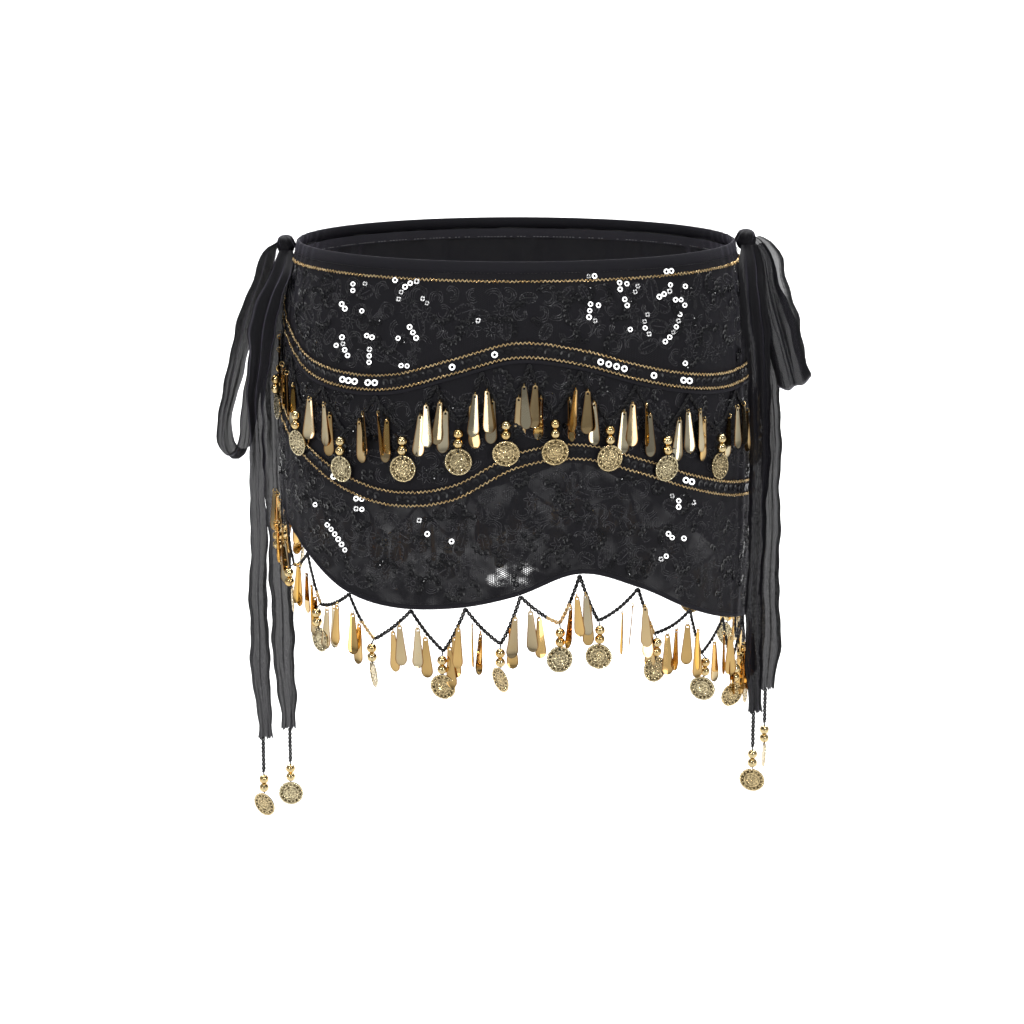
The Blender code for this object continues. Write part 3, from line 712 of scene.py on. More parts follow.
class Flat:
    """Distance along the cloth of one half, measured from its first side."""

    def __init__(self, start):
        self.start = start
        self.table = [0.0]
        for k in range(180):
            step = degree_step(start + k + 0.5, ARC_HEIGHT).length
            self.table.append(self.table[-1] + step)
        self.length = self.table[-1]

    def angle(self, s):
        k = min(max(bisect.bisect(self.table, s) - 1, 0), 179)
        return self.start + k + (s - self.table[k]) / (self.table[k + 1] - self.table[k])

    def distance(self, angle):
        k = min(max(int(angle - self.start), 0), 179)
        return self.table[k] + (angle - self.start - k) * (self.table[k + 1] - self.table[k])


def spun(centre, x, y, turn):
    """A place on the flat cloth, x ahead and y aside of a centre along a heading."""
    cosine, sine = math.cos(turn), math.sin(turn)
    return centre[0] + x * cosine - y * sine, centre[1] + x * sine + y * cosine


def thread_line(shape, flat, line):
    """A raised embroidery thread along a line on the flat cloth."""
    points = []
    for k, (s, h) in enumerate(line):
        before, after = neighbours(line, k)
        run = math.hypot(after[0] - before[0], after[1] - before[1]) or 1.0
        side = (-(after[1] - before[1]) / run * THREAD_HALF, (after[0] - before[0]) / run * THREAD_HALF)
        points.append(on_body(flat.angle(s + side[0]), h + side[1], THREAD_FOOT))
        points.append(on_body(flat.angle(s), h, THREAD_HIGH))
        points.append(on_body(flat.angle(s - side[0]), h - side[1], THREAD_FOOT))
    faces = []
    for a in range(0, 3 * len(line) - 3, 3):
        faces += [(a, a + 1, a + 4, a + 3), (a + 1, a + 2, a + 5, a + 4)]
    places = [(k / 3.0, k % 3 / 3.0) for k in range(len(points))]
    shape.add(points, faces, places)


def wavy_arc(centre, radius, start, sweep, shrink=0.0, wave=0.0, phase=0.0):
    """An arc whose radius shrinks towards its end and wavers."""
    steps = max(6, round(abs(sweep) * radius / 1.5))
    line = []
    for k in range(steps + 1):
        part = k / steps
        waver = wave * math.sin(phase + 2.2 * part * abs(sweep) * radius / 3)
        reach = radius * (1 - shrink * part * part) + waver
        line.append(spun(centre, reach, 0.0, start + sweep * part))
    return line


def scroll(shape, flat, centre, radius, rng):
    """Parallel wavy threads round a curl."""
    start = rng.uniform(0, 2 * math.pi)
    sweep = rng.choice((-1, 1)) * rng.uniform(3.4, 5.2)
    phase = rng.uniform(0, 6)
    for inset in (0.0, 1.5, 3.0)[: 2 if radius < 5 else 3]:
        thread_line(shape, flat, wavy_arc(centre, radius - inset, start, sweep, 0.3, 0.3, phase))


def chain(shape, flat, centre, radius, rng):
    """A leaf outlined with a chain of small loops."""
    turn = rng.uniform(0, math.pi)
    thin = rng.uniform(0.42, 0.65)
    loops = round(2 * math.pi * radius * (1 + thin) / 2 / 1.9)
    line = []
    for k in range(loops * 5 + 1):
        t = 2 * math.pi * k / (loops * 5)
        x = radius * math.cos(t) + CHAIN_LOOP * math.cos(t * loops)
        y = radius * thin * math.sin(t) + CHAIN_LOOP * math.sin(t * loops)
        line.append(spun(centre, x, y, turn))
    thread_line(shape, flat, line)
    thread_line(shape, flat, [spun(centre, radius * 0.7 * part, 0.0, turn) for part in (-1, -0.3, 0.3, 1)])


def flower(shape, flat, centre, radius, rng):
    """Petals round a small ring."""
    petals = rng.choice((6, 7, 8))
    line = []
    for k in range(petals * 7 + 1):
        t = 2 * math.pi * k / (petals * 7)
        line.append(spun(centre, radius * (0.72 + 0.28 * math.cos(petals * t)), 0.0, t))
    thread_line(shape, flat, line)
    thread_line(shape, flat, wavy_arc(centre, radius * 0.3, 0, 2 * math.pi))


MOTIFS = (scroll, chain, scroll, flower, chain, scroll)


def sequin(shape, place, facing, size, cup, hole=SEQUIN_HOLE):
    """A thin ring that faces one way, flat or cupped."""
    side = facing.cross(UP).normalized()
    up = side.cross(facing)
    points = []
    for reach, deep in ((0.5, 0.0), (0.36, -0.12), (0.5 * hole, -0.2)):
        points += circle(place + facing * deep * cup, side, up, size * reach, SEQUIN_SIDES)
    shape.add(points, ring_faces(3, SEQUIN_SIDES, flip=True))


def glint_direction(place, lamp):
    """Halfway between the front view and a lamp, so that a flat piece there sends its light back."""
    to_view = (Vector(CAMERA_PLACE) - place * MM).normalized()
    to_lamp = (Vector(lamp) - place * MM).normalized()
    return (to_view + to_lamp).normalized()


def near_lamp(angle):
    return KEY_PLACE if angle < 0 else FILL_PLACE


def bright_sequin(shape, angle, height, size, cup=0.0, out=0.45):
    """A sequin that sends the light of a lamp to the front view: all of it, or with a cup, a part."""
    place = on_body(angle, height, out)
    outward = directions(angle, height)[1]
    facing = glint_direction(place, near_lamp(angle))
    lift = size / 2 * math.sin(facing.angle(outward))
    sequin(shape, place + outward * lift * 0.8, facing, size, cup, BRIGHT_HOLE)


def scatter(rng, most):
    return Vector([rng.uniform(-most, most) for _ in range(3)])


def dark_sequin(shape, angle, height, size, rng):
    """A sequin that lies on the cloth. A few of them catch a lamp with part of their rim."""
    outward = directions(angle, height)[1]
    place = on_body(angle, height, 0.5 + rng.uniform(0, 0.3))
    if GLINT_FROM < abs(angle) < GLINT_TO and rng.random() < HALF_BRIGHT:
        aside = scatter(rng, 1).normalized()
        facing = glint_direction(place, near_lamp(angle)) + aside * rng.uniform(0.06, 0.16)
        sequin(shape, place + outward * 0.4, facing.normalized(), size, 1.0)
        return
    glints = [glint_direction(place, lamp) for lamp in (KEY_PLACE, FILL_PLACE)]
    for _ in range(8):
        facing = (outward + scatter(rng, 0.13)).normalized()
        if all(facing.angle(glint) > LEAST_GLINT for glint in glints):
            break
    sequin(shape, place, facing, size, 1.0)


def tier_of(angle, height):
    """The tier of cloth at a place, and its clearance from the bands, the hem and the waist."""
    upper, lower, hem = (line_height(name, angle) for name in LINE_COLUMNS[1:])
    edges = (
        (WAIST_CLEAR, upper + BAND_CLEAR),
        (upper - TAPE_CLEAR, lower + BAND_CLEAR),
        (lower - BAND_CLEAR, hem + HEM_CLEAR),
    )
    for tier, (top, bottom) in zip(TIER_CUTS, edges):
        if bottom < height < top:
            return tier, min(top - height, height - bottom)
    return None, 0.0


def build_embroidery():
    """Motifs and loose sequin chains all over the cloth. Gives the pieces of each panel."""
    trim = {}
    for half, start in HALVES:
        flat = Flat(start)
        rng = random.Random("embroidery " + half)
        threads = {tier: Shape() for tier in TIER_CUTS}
        sequins = {tier: Shape() for tier in TIER_CUTS}
        row = 0
        height = MOTIF_TOP
        while height > MOTIF_BOTTOM:
            s = MOTIF_APART * (0.5 + 0.5 * (row % 2))
            while s < flat.length - 4:
                across = s + rng.uniform(-MOTIF_STRAY, MOTIF_STRAY)
                centre = (across, height + rng.uniform(-MOTIF_STRAY, MOTIF_STRAY))
                motif(threads, sequins, flat, centre, rng)
                s += MOTIF_APART
            height -= MOTIF_ROWS
            row += 1
        if half == "front":
            bright_chains(sequins, flat)
        for tier, slot in TIER_SLOTS.items():
            trim[half, tier] = [
                threads[tier].build(f"embroidery_{half}_{tier}", EMBROIDERY, slot),
                sequins[tier].build(f"sequins_{half}_{tier}", SEQUIN, slot),
            ]
    return trim


def motif(threads, sequins, flat, centre, rng):
    """One motif, if there is room for it, and now and then a chain of sequins round it."""
    radius = rng.uniform(5.2, 7.6)
    kind = rng.choice(MOTIFS)
    chance = rng.random()
    tier, clear = tier_of(flat.angle(centre[0]), centre[1])
    clear = min(clear, centre[0] - 1, flat.length - 1 - centre[0])
    if tier and clear > MOTIF_ROOM:
        kind(threads[tier], flat, centre, min(radius, clear + 0.8), rng)
        if chance < CHAIN_CHANCE:
            loose_chain(sequins, flat, centre, min(radius, clear) + 0.3, rng)


def loose_chain(sequins, flat, centre, radius, rng):
    turn = rng.uniform(0, 2 * math.pi)
    for _ in range(rng.choice((2, 3, 4, 5, 6))):
        s, h = spun(centre, radius, 0.0, turn)
        angle = flat.angle(s)
        tier = tier_of(angle, h)[0]
        if tier and 2.5 < s < flat.length - 2.5:
            dark_sequin(sequins[tier], angle, h, SEQUIN_SIZE, rng)
        turn += SEQUIN_STEP / radius


def bright_chains(sequins, flat):
    """The chains of BRIGHT_CHAINS on the front, each bowed to one side of its heading."""
    rng = random.Random("bright chains")
    for angle, height, heading, count, bow in BRIGHT_CHAINS:
        first = (flat.distance(angle), height)
        for k in range(count):
            part = k / max(count - 1, 1)
            s, h = spun(first, BRIGHT_STEP * k, -4 * part * (1 - part) * bow, math.radians(heading))
            tier = tier_of(flat.angle(s), h)[0] or ("upper" if h > -100 else "lower")
            size = BRIGHT_SIZE * rng.uniform(0.88, 1.04)
            bright_sequin(sequins[tier], flat.angle(s), h, size, rng.choice((0.0, 0.0, 0.0, 0.15)))


# Fringe

SEWN_IN = 0.8
STRING_LAYER = 0.55
CORD_HALF = 0.74
CORD_SWING = 0.82
CORD_DEPTH = 0.3
CORD_TURN = 6.2
RING = 1.5
RING_WIRE = 0.28
RING_TURNS = 12
RING_SIDES = 5
DROP_ROWS = (0.0, 0.02, 0.045, 0.09, 0.18, 0.3, 0.45, 0.6, 0.72, 0.8, 0.86, 0.91, 0.95, 0.98, 1.0)
DROP_SHARES = (-1.0, -0.4, 0.4, 1.0)
DROP_TOP_HALF = 1.75
DROP_SHOULDER = 0.045
DROP_WIDEST = 0.82
DROP_HOLE = (2, 1)
DROP_HANG = 0.9
GOLD_STRING_CHANCE = 0.22
THIRD_DROP = 0.7
THIRD_DROP_CHANCE = 0.5
LINK_HALF = 0.5
LOOP_HALF = 0.32
COIN_HOLE = 1.9
BALL_SIDES = 20
BALL_RINGS = 12

# Each fringe: its sewn places, turns, distance outside the cloth, lean, and how warm its drops are.
# A warm one also has some gold strings and third drops.
FRINGES = {
    "upper": (UPPER_SEWN, UPPER_TURNS, 0.4, UPPER_LEAN, 0.0),
    "lower": (LOWER_SEWN, LOWER_TURNS, -1.2, LOWER_LEAN, 0.35),
}


def hang(first, second, lean):
    """Angle and height of the fork where two equal strings meet below two sewn points."""
    angle = (first[0] + second[0]) / 2
    scale = degree_step(angle, (first[1] + second[1]) / 2).length
    across = (second[0] - first[0]) * scale
    rise = second[1] - first[1]
    apart = math.hypot(across, rise)
    drop = math.sqrt(max(STRING_LENGTH**2 - apart**2 / 4, LEAST_DROP**2))
    place = across / 2 + lean * drop * rise / apart
    least = min(LEAST_SPAN, across / 2)
    place = min(max(place, least), across - least)
    return first[0] + place / scale, first[1] + rise / 2 - drop * across / apart


def step_along(path, step):
    """Points about a step apart along a path, with the distance of each."""
    marks, run = [], 0.0
    for first, second in zip(path, path[1:]):
        length = (second - first).length
        parts = max(1, round(length / step))
        for n in range(parts):
            marks.append((run + length * n / parts, first.lerp(second, n / parts)))
        run += length
    marks.append((run, path[-1]))
    return marks


def crochet(shape, path, facing=None):
    """A chain of looped thread: two strands that cross and recross along a path."""
    marks = step_along(path, CORD_TURN / 8)
    for strand_turn in (0.0, math.pi):
        line = []
        for k, (run, centre) in enumerate(marks):
            before, after = neighbours(marks, k)
            out = facing or Vector((centre.x, centre.y, 0)).normalized()
            side = (after[1] - before[1]).normalized().cross(out).normalized()
            turn = 2 * math.pi * run / CORD_TURN + strand_turn
            line.append(centre + side * CORD_SWING * math.sin(turn) + out * CORD_DEPTH * math.cos(turn))
        shape.tube(line, CORD_HALF, 5)


def gold_ring(shape, centre, across, outward):
    """A small ring of gold wire that stands in the plane of across and the vertical."""
    points = []
    for k in range(RING_TURNS):
        t = 2 * math.pi * k / RING_TURNS
        spoke = across * math.cos(t) + UP * math.sin(t)
        points += circle(centre + spoke * RING, spoke, outward, RING_WIRE, RING_SIDES)
    faces = ring_faces(RING_TURNS + 1, RING_SIDES, flip=True)
    shape.add(points, [tuple(a % len(points) for a in face) for face in faces], tone=0.7)


def pick_turn(rng):
    """How far a drop turns from facing out: most face the front, some stand nearly edge on."""
    kind = rng.random()
    if kind < 0.66:
        return rng.uniform(-18, 18)
    if kind < 0.86:
        return rng.choice((-1, 1)) * rng.uniform(22, 48)
    return rng.choice((-1, 1)) * rng.uniform(62, 84)


def drop_half_width(part):
    """Half width of a drop at a share of its length: a narrow top that spreads to a round end."""
    if part < DROP_SHOULDER:
        return max(0.5, DROP_TOP_HALF * math.sqrt(max(0.0, 1 - (1 - part / DROP_SHOULDER) ** 2)))
    if part < DROP_WIDEST:
        spread = (part - DROP_SHOULDER) / (DROP_WIDEST - DROP_SHOULDER)
        return DROP_TOP_HALF + (DROP_WIDTH / 2 - DROP_TOP_HALF) * spread**1.08
    end = (part - DROP_WIDEST) / (1 - DROP_WIDEST)
    return max(0.3, DROP_WIDTH / 2 * math.sqrt(max(0.0, 1 - end * end)))


def drop_blade(shape, top, across, outward, warmth, rng):
    """A thin polished metal drop with a hole at its top, bowed very slightly. Gives its top."""
    turn = pick_turn(rng)
    wide, deep = turned(across, outward, turn)
    down = (across * rng.uniform(-0.09, 0.09) + outward * rng.uniform(-0.02, 0.05) - UP).normalized()
    clear = abs(math.sin(math.radians(turn))) * DROP_WIDTH / 2 * 0.8
    start = top + down * 2.0 + outward * clear
    bow, curl = rng.uniform(0.05, 0.6), rng.uniform(-0.9, 1.1)
    middle, relief = [], []
    for part in DROP_ROWS:
        half = drop_half_width(part)
        for share in DROP_SHARES:
            dish = bow * (1 - share * share) * half / (DROP_WIDTH / 2) + curl * part * part
            middle.append(start + down * part * (DROP_LENGTH - 2.2) + wide * share * half - deep * dish)
            relief.append(0.0 if abs(share) == 1 or part in (0.0, 1.0) else 1.0)
    faces = wall_faces(len(DROP_ROWS), len(DROP_SHARES), DROP_HOLE)
    fronts = [point + deep * DROP_THICK / 2 for point in middle]
    backs = [point - deep * DROP_THICK / 2 for point in middle]
    shape.add(fronts + backs, faces, tone=warmth + rng.uniform(0, 0.75), relief=relief + relief)
    return start


def wall_faces(rows, columns, hole):
    """Faces of a thin closed wall between two grids of points, with one place of both left open."""
    back = rows * columns
    faces = []
    for r in range(rows - 1):
        for c in range(columns - 1):
            a, b = r * columns + c, (r + 1) * columns + c
            if (r, c) == hole:
                around = (a, b, b + 1, a + 1)
                faces += [(back + p, back + q, q, p) for p, q in zip(around, around[1:] + around[:1])]
                continue
            faces.append((a, b, b + 1, a + 1))
            faces.append((back + a, back + a + 1, back + b + 1, back + b))
    rim = list(range(columns))
    rim += [r * columns + columns - 1 for r in range(1, rows)]
    rim += [(rows - 1) * columns + c for c in range(columns - 2, -1, -1)]
    rim += [r * columns for r in range(rows - 2, 0, -1)]
    faces += [(a, b, back + b, back + a) for a, b in zip(rim, rim[1:] + rim[:1])]
    return faces


def bead(shape, centre, tone):
    """A round bead, a little flattened at its two ends where the string goes through."""
    radius = BEAD / 2 + 0.12
    points = []
    for r in range(1, BALL_RINGS):
        tilt = math.pi * r / BALL_RINGS
        middle = centre + UP * radius * math.cos(tilt)
        points += circle(middle, RIGHT, BACK, radius * math.sin(tilt), BALL_SIDES)
    points += [centre + UP * radius * 0.93, centre - UP * radius * 0.93]
    shape.add(points, ball_faces(BALL_RINGS - 1, BALL_SIDES), tone=tone)


# Coin: rings of points at these shares of its half width, each with how far it is raised
COIN_RINGS = (
    (0.0, 0.1),
    (0.12, 0.16),
    (0.24, 0.05),
    (0.36, 0.14),
    (0.48, 0.04),
    (0.57, 0.1),
    (0.62, 0.2),
    (0.67, 0.03),
    (0.76, 0.0),
    (0.86, 0.03),
    (0.91, 0.24),
    (0.97, 0.26),
    (1.0, 0.12),
)
COIN_SIDES = 56
COIN_DEEPEST = 0.3
STUDS = 15
STUD_PLACE = 0.77
STUD_SIZE = 0.72


def coin(shape, centre, wide, deep, tone, tip):
    """A struck coin with a raised rim, a ring of studs, a smaller ring and a leafy middle."""
    up = (UP + deep * tip).normalized()
    deep = (deep - UP * tip).normalized()
    fronts, backs, relief, places = [], [], [], []
    for share, height in COIN_RINGS:
        for s in range(COIN_SIDES):
            turn = 2 * math.pi * s / COIN_SIDES
            rise = height + coin_leaf(share, turn)
            reach = COIN / 2 * max(share, 0.03)
            spot = centre + (wide * math.cos(turn) + up * math.sin(turn)) * reach
            layer = deep * (COIN_THICK / 2 + rise - COIN_DEEPEST)
            fronts.append(spot + layer)
            backs.append(spot - layer)
            relief.append(min(1.0, rise / COIN_DEEPEST))
            places.append(((reach * math.cos(turn) + 40 * tone) * MM, reach * math.sin(turn) * MM))
    back = len(fronts)
    rings = len(COIN_RINGS)
    faces = ring_faces(rings, COIN_SIDES) + ring_faces(rings, COIN_SIDES, flip=True, start=back)
    last = (rings - 1) * COIN_SIDES
    for s in range(COIN_SIDES):
        a, b = last + s, last + (s + 1) % COIN_SIDES
        faces.append((a, back + a, back + b, b))
    faces.append(tuple(reversed(range(COIN_SIDES))))
    faces.append(tuple(back + s for s in range(COIN_SIDES)))
    shape.add(fronts + backs, faces, places + places, tone, relief + relief)
    for foot in circle(centre, *turned(wide, up, 90 + 180 / STUDS), COIN / 2 * STUD_PLACE, STUDS):
        for face in (deep, -deep):
            stud(shape, foot + face * (COIN_THICK / 2 - COIN_DEEPEST - 0.04), face, tone)


def coin_leaf(share, turn):
    """The leafy ornament of the middle of a coin."""
    if share > 0.55:
        return 0.0
    return max(0.0, 0.13 * math.sin(7 * turn + 9 * share) * math.sin(share * 5.6))


def stud(shape, foot, face, tone):
    """A small dome."""
    side = face.orthogonal().normalized()
    other = face.cross(side)
    points = []
    for reach, rise in ((1.0, 0.0), (0.75, 0.24)):
        points += circle(foot + face * rise, side, other, reach * STUD_SIZE, 8)
    points.append(foot + face * 0.34)
    faces = [(s, (s + 1) % 8, 8 + (s + 1) % 8, 8 + s) for s in range(8)]
    faces += [(8 + s, 8 + (s + 1) % 8, 16) for s in range(8)]
    faces.append(tuple(reversed(range(8))))
    shape.add(points, faces, tone=tone, relief=[0.2] * 8 + [0.9] * 8 + [1.0])


def strand(parts, place_at, across, outward, turn, rng):
    """Two beads and a coin below a fork. place_at gives the centre at a distance below it and out."""
    wide, deep = turned(across, outward, turn + rng.uniform(-6, 6))
    for n in (0.5, 1.5):
        bead(parts["beads"], place_at(BEAD_START + BEAD * n, BEAD_LAYER), rng.random())
    centre = place_at(COIN_START + COIN / 2, COIN_LAYER)
    coin(parts["coins"], centre, wide, deep, rng.random(), rng.uniform(-0.12, 0.24))
    end = place_at(BEAD_START + 2 * BEAD + 0.4, BEAD_LAYER)
    parts["strings"].tube([place_at(0, 1.5), place_at(BEAD_START, BEAD_LAYER), end], LINK_HALF, 6)
    top = centre + UP * COIN / 2
    front = top + deep * (COIN_THICK / 2 + 0.35) - UP * 1.5
    back = top - deep * (COIN_THICK / 2 + 0.35) - UP * 0.6
    parts["strings"].tube([end, front], LOOP_HALF, 5)
    parts["strings"].tube([back, end], LOOP_HALF, 5)
    for face in (deep, -deep):
        stud(parts["strings"], top - UP * COIN_HOLE + face * (COIN_THICK / 2 - 0.18), face, 0.0)


def string(parts, start, fork, base, layers, warmth, rng):
    """A string from its sewn end to the fork, with two or three drops."""
    sag = STRING_SAG * rng.uniform(0.7, 1.5)

    def place(share):
        angle = start[0] + (fork[0] - start[0]) * share
        height = start[1] + (fork[1] - start[1]) * share
        return angle, height - 4 * sag * share * (1 - share)

    path = [on_body(*place(n / 12), base + STRING_LAYER) for n in range(13)]
    gilt = 12
    if rng.random() < GOLD_STRING_CHANCE and warmth > 0:
        gilt = rng.choice((6, 8, 10))
        crochet(parts["gold_strings"], path[gilt:])
    crochet(parts["strings"], path[: gilt + 1])
    shares = DROP_PLACES
    if warmth > 0 and rng.random() < THIRD_DROP_CHANCE:
        shares += (THIRD_DROP,)
    for n, share in enumerate(shares):
        angle, height = place(share)
        across, outward = directions(angle, height)
        top = on_body(angle, height - DROP_HANG, base + layers[min(n, 1)])
        hole = drop_blade(parts["drops"], top, across, outward, warmth, rng)
        gold_ring(parts["rings"], hole + UP * 0.2, outward, across)


def fringe(name, sewn, turns, root, base, lean, layers, warmth):
    """A zigzag of strings with drops, and two beads and a coin at each fork."""
    rng = random.Random(name)
    parts = {key: Shape() for key in ("strings", "gold_strings", "rings", "drops", "beads", "coins")}
    points = [(angle, root(angle)) for angle in sewn]
    for first, second, turn in zip(points, points[1:], turns):
        fork = hang(first, second, lean)
        for (angle, height), outs in zip((first, second), layers):
            string(parts, (angle, height - SEWN_IN), fork, base, outs, warmth, rng)

        def place_at(below, layer):
            return on_body(fork[0], fork[1] - below, base + layer)

        strand(parts, place_at, *directions(*fork), turn, rng)
    build_parts(name, parts)


def build_parts(name, parts):
    """The pieces of a fringe or a tie's string. The part's node that they replace is hidden."""
    looks = {
        "strings": THREAD,
        "gold_strings": GOLD_THREAD,
        "rings": BEAD_METAL,
        "drops": DROP_METAL,
        "beads": BEAD_METAL,
        "coins": COIN_METAL,
    }
    first = None
    for key, shape in parts.items():
        if shape.points:
            thing = shape.build(f"{name}_{key}", looks[key], "gold")
            first = first or thing
    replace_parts(first, name)


def mirrored(values, whole):
    """The values of the front, in the order of the back."""
    return [whole - value for value in reversed(values)]


def build_fringes():
    roots = {"upper": at_line("upper_band", -BEAD_BAND_HALF - TAPE_DROP), "lower": at_line("hem")}
    for half, _ in HALVES:
        for tier, (sewn, turns, base, lean, warmth) in FRINGES.items():
            layers = (INNER_DROPS, OUTER_DROPS)
            if half == "back":
                sewn, turns = mirrored(sewn, 180), mirrored(turns, 0)
                layers = (OUTER_DROPS, INNER_DROPS)
            fringe(f"fringe_{tier}_{half}", sewn, turns, roots[tier], base, lean, layers, warmth)


# Belts: the waistband, the hem, the tape of the upper fringe and the two beaded bands

BELT_SIDES = 10
CLOTH_MIDDLE = -0.6
WAIST_TOP = 4.0
BAND_HALF = 5.9
HEM_HIGH = 3.2
HEM_STITCHES = 4.3
WAIST_STITCHES = -3.4
TAPE_TOP = -BEAD_BAND_HALF - 0.3
TAPE_HIGH = 2.4
GOLD_LINE = 4.7
WAIST_LINE = -8.6
STITCH_TURN = 2.9
STITCH_HALF = 0.72
GOLD_WIRE = 0.42
STITCH_STEP = 2.6
STITCH = 1.4
MISSING_SEQUINS = 0.06


def belt(start, low, high, middle, thick):
    """A narrow strip round half of the body, with rounded edges."""
    points, places = [], []
    angles = half_columns(start, 1.0)
    for angle in angles:
        centre = (low(angle) + high(angle)) / 2
        half = (high(angle) - low(angle)) / 2
        for s in range(BELT_SIDES):
            t = 2 * math.pi * s / BELT_SIDES
            height = centre + half * math.copysign(abs(math.sin(t)) ** 0.6, math.sin(t))
            points.append(on_body(angle, height, middle + thick / 2 * math.cos(t)))
            places.append(cloth_place(angle, height))
    last = len(points) - BELT_SIDES
    ends = [tuple(range(BELT_SIDES)), tuple(reversed(range(last, len(points))))]
    shape = Shape()
    shape.add(points, ring_faces(len(angles), BELT_SIDES) + ends, places)
    return shape


def gold_line(shape, flat, height_of, out, rng):
    """A zigzag line of gold thread round half of the body, with a short break here and there."""
    path = []
    broken = rng.uniform(25, 90)
    steps = int((flat.length - 3) / (STITCH_TURN / 4))
    for k in range(steps + 1):
        s = 1.5 + k * STITCH_TURN / 4
        angle = flat.angle(s)
        swing = (0, 1, 0, -1)[k % 4] * STITCH_HALF + rng.uniform(-0.22, 0.22)
        path.append(on_body(angle, height_of(angle) + swing, out + 0.15 * (k % 2)))
        if s > broken or k == steps:
            shape.tube(path, GOLD_WIRE, 5, rng.random())
            path = []
            broken = s + rng.uniform(45, 120)


def stitches(shape, flat, height_of, out, rng, skip):
    """A row of short stitches. Some of them are left out."""
    s = 2.0
    while s < flat.length - 3:
        if rng.random() > skip:
            ends = [(flat.angle(s + n * STITCH / 2), n) for n in (0, 1, 2)]
            path = [on_body(a, height_of(a), out + 0.12 * (n == 1)) for a, n in ends]
            shape.tube(path, 0.2, 4, rng.random())
        s += STITCH_STEP


def band_sequins(flat, name, half, rng):
    """One row of sequins between the two gold lines of a band. A few are missing."""
    shape = Shape()
    bright = []
    if half == "front":
        for first, count in BRIGHT_BAND[name]:
            bright += [first + BRIGHT_BAND_STEP * k for k in range(count)]
    s = 3.0
    while s < flat.length - 3:
        angle = flat.angle(s)
        near = any(abs(angle - a) < 1.1 for a in bright)
        if not near and rng.random() > MISSING_SEQUINS:
            height = line_height(name, angle)
            facing = (directions(angle, height)[1] + scatter(rng, 0.1)).normalized()
            sequin(shape, on_body(angle, height, 1.1), facing, BAND_SEQUIN_SIZE, 1.0)
        s += BAND_SEQUIN_STEP
    for angle in bright:
        bright_sequin(shape, angle, line_height(name, angle), BAND_SEQUIN_SIZE * 0.9, out=1.3)
    return shape


def build_belts():
    for half, start in HALVES:
        flat = Flat(start)
        rng = random.Random("belts " + half)
        waist = belt(start, at_level(CLOTH_TOP), at_level(WAIST_TOP), CLOTH_MIDDLE, 2.6)
        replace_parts(waist.build("waistband_" + half + "_cloth", BINDING, "binding"), "waistband_" + half)
        hem = belt(start, at_line("hem"), at_line("hem", HEM_HIGH), CLOTH_MIDDLE, 2.0)
        hem.build("hem_" + half, BINDING, "binding")
        sewing = Shape()
        stitches(sewing, flat, at_line("hem", HEM_STITCHES), 0.1, rng, 0.15)
        stitches(sewing, flat, at_level(WAIST_STITCHES), 0.8, rng, 0.1)
        sewing.build("seam_stitches_" + half, THREAD, "binding")
        tape_low = at_line("upper_band", TAPE_TOP - TAPE_HIGH)
        tape = belt(start, tape_low, at_line("upper_band", TAPE_TOP), 1.0, 1.2)
        tape.build("fringe_tape_" + half, BINDING, "binding")
        gold = Shape()
        for name in ("upper_band", "lower_band"):
            band = belt(start, at_line(name, -BAND_HALF), at_line(name, BAND_HALF), 0.6, 0.5)
            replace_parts(band.build(f"{name}_{half}_cloth", NET, "bead_band"), f"{name}_{half}")
            for side in (-1, 1):
                gold_line(gold, flat, at_line(name, side * GOLD_LINE), 1.1, rng)
            band_sequins(flat, name, half, rng).build(f"{name}_{half}_sequins", SEQUIN, "bead_band")
        gold_line(gold, flat, at_level(WAIST_LINE), 0.5, rng)
        gold.build("gold_lines_" + half, GOLD_THREAD, "bead_band")


# Side ties

# Knots: side, middle across, back and height, and half sizes across, in depth and in height
KNOTS = (
    ("left", -159.5, 0.0, -0.5, 6.0, 6.6, 6.8),
    ("right", 159.2, 0.0, 3.2, 6.6, 7.0, 7.2),
)
KNOT_SIDES = 40
KNOT_RINGS = 24

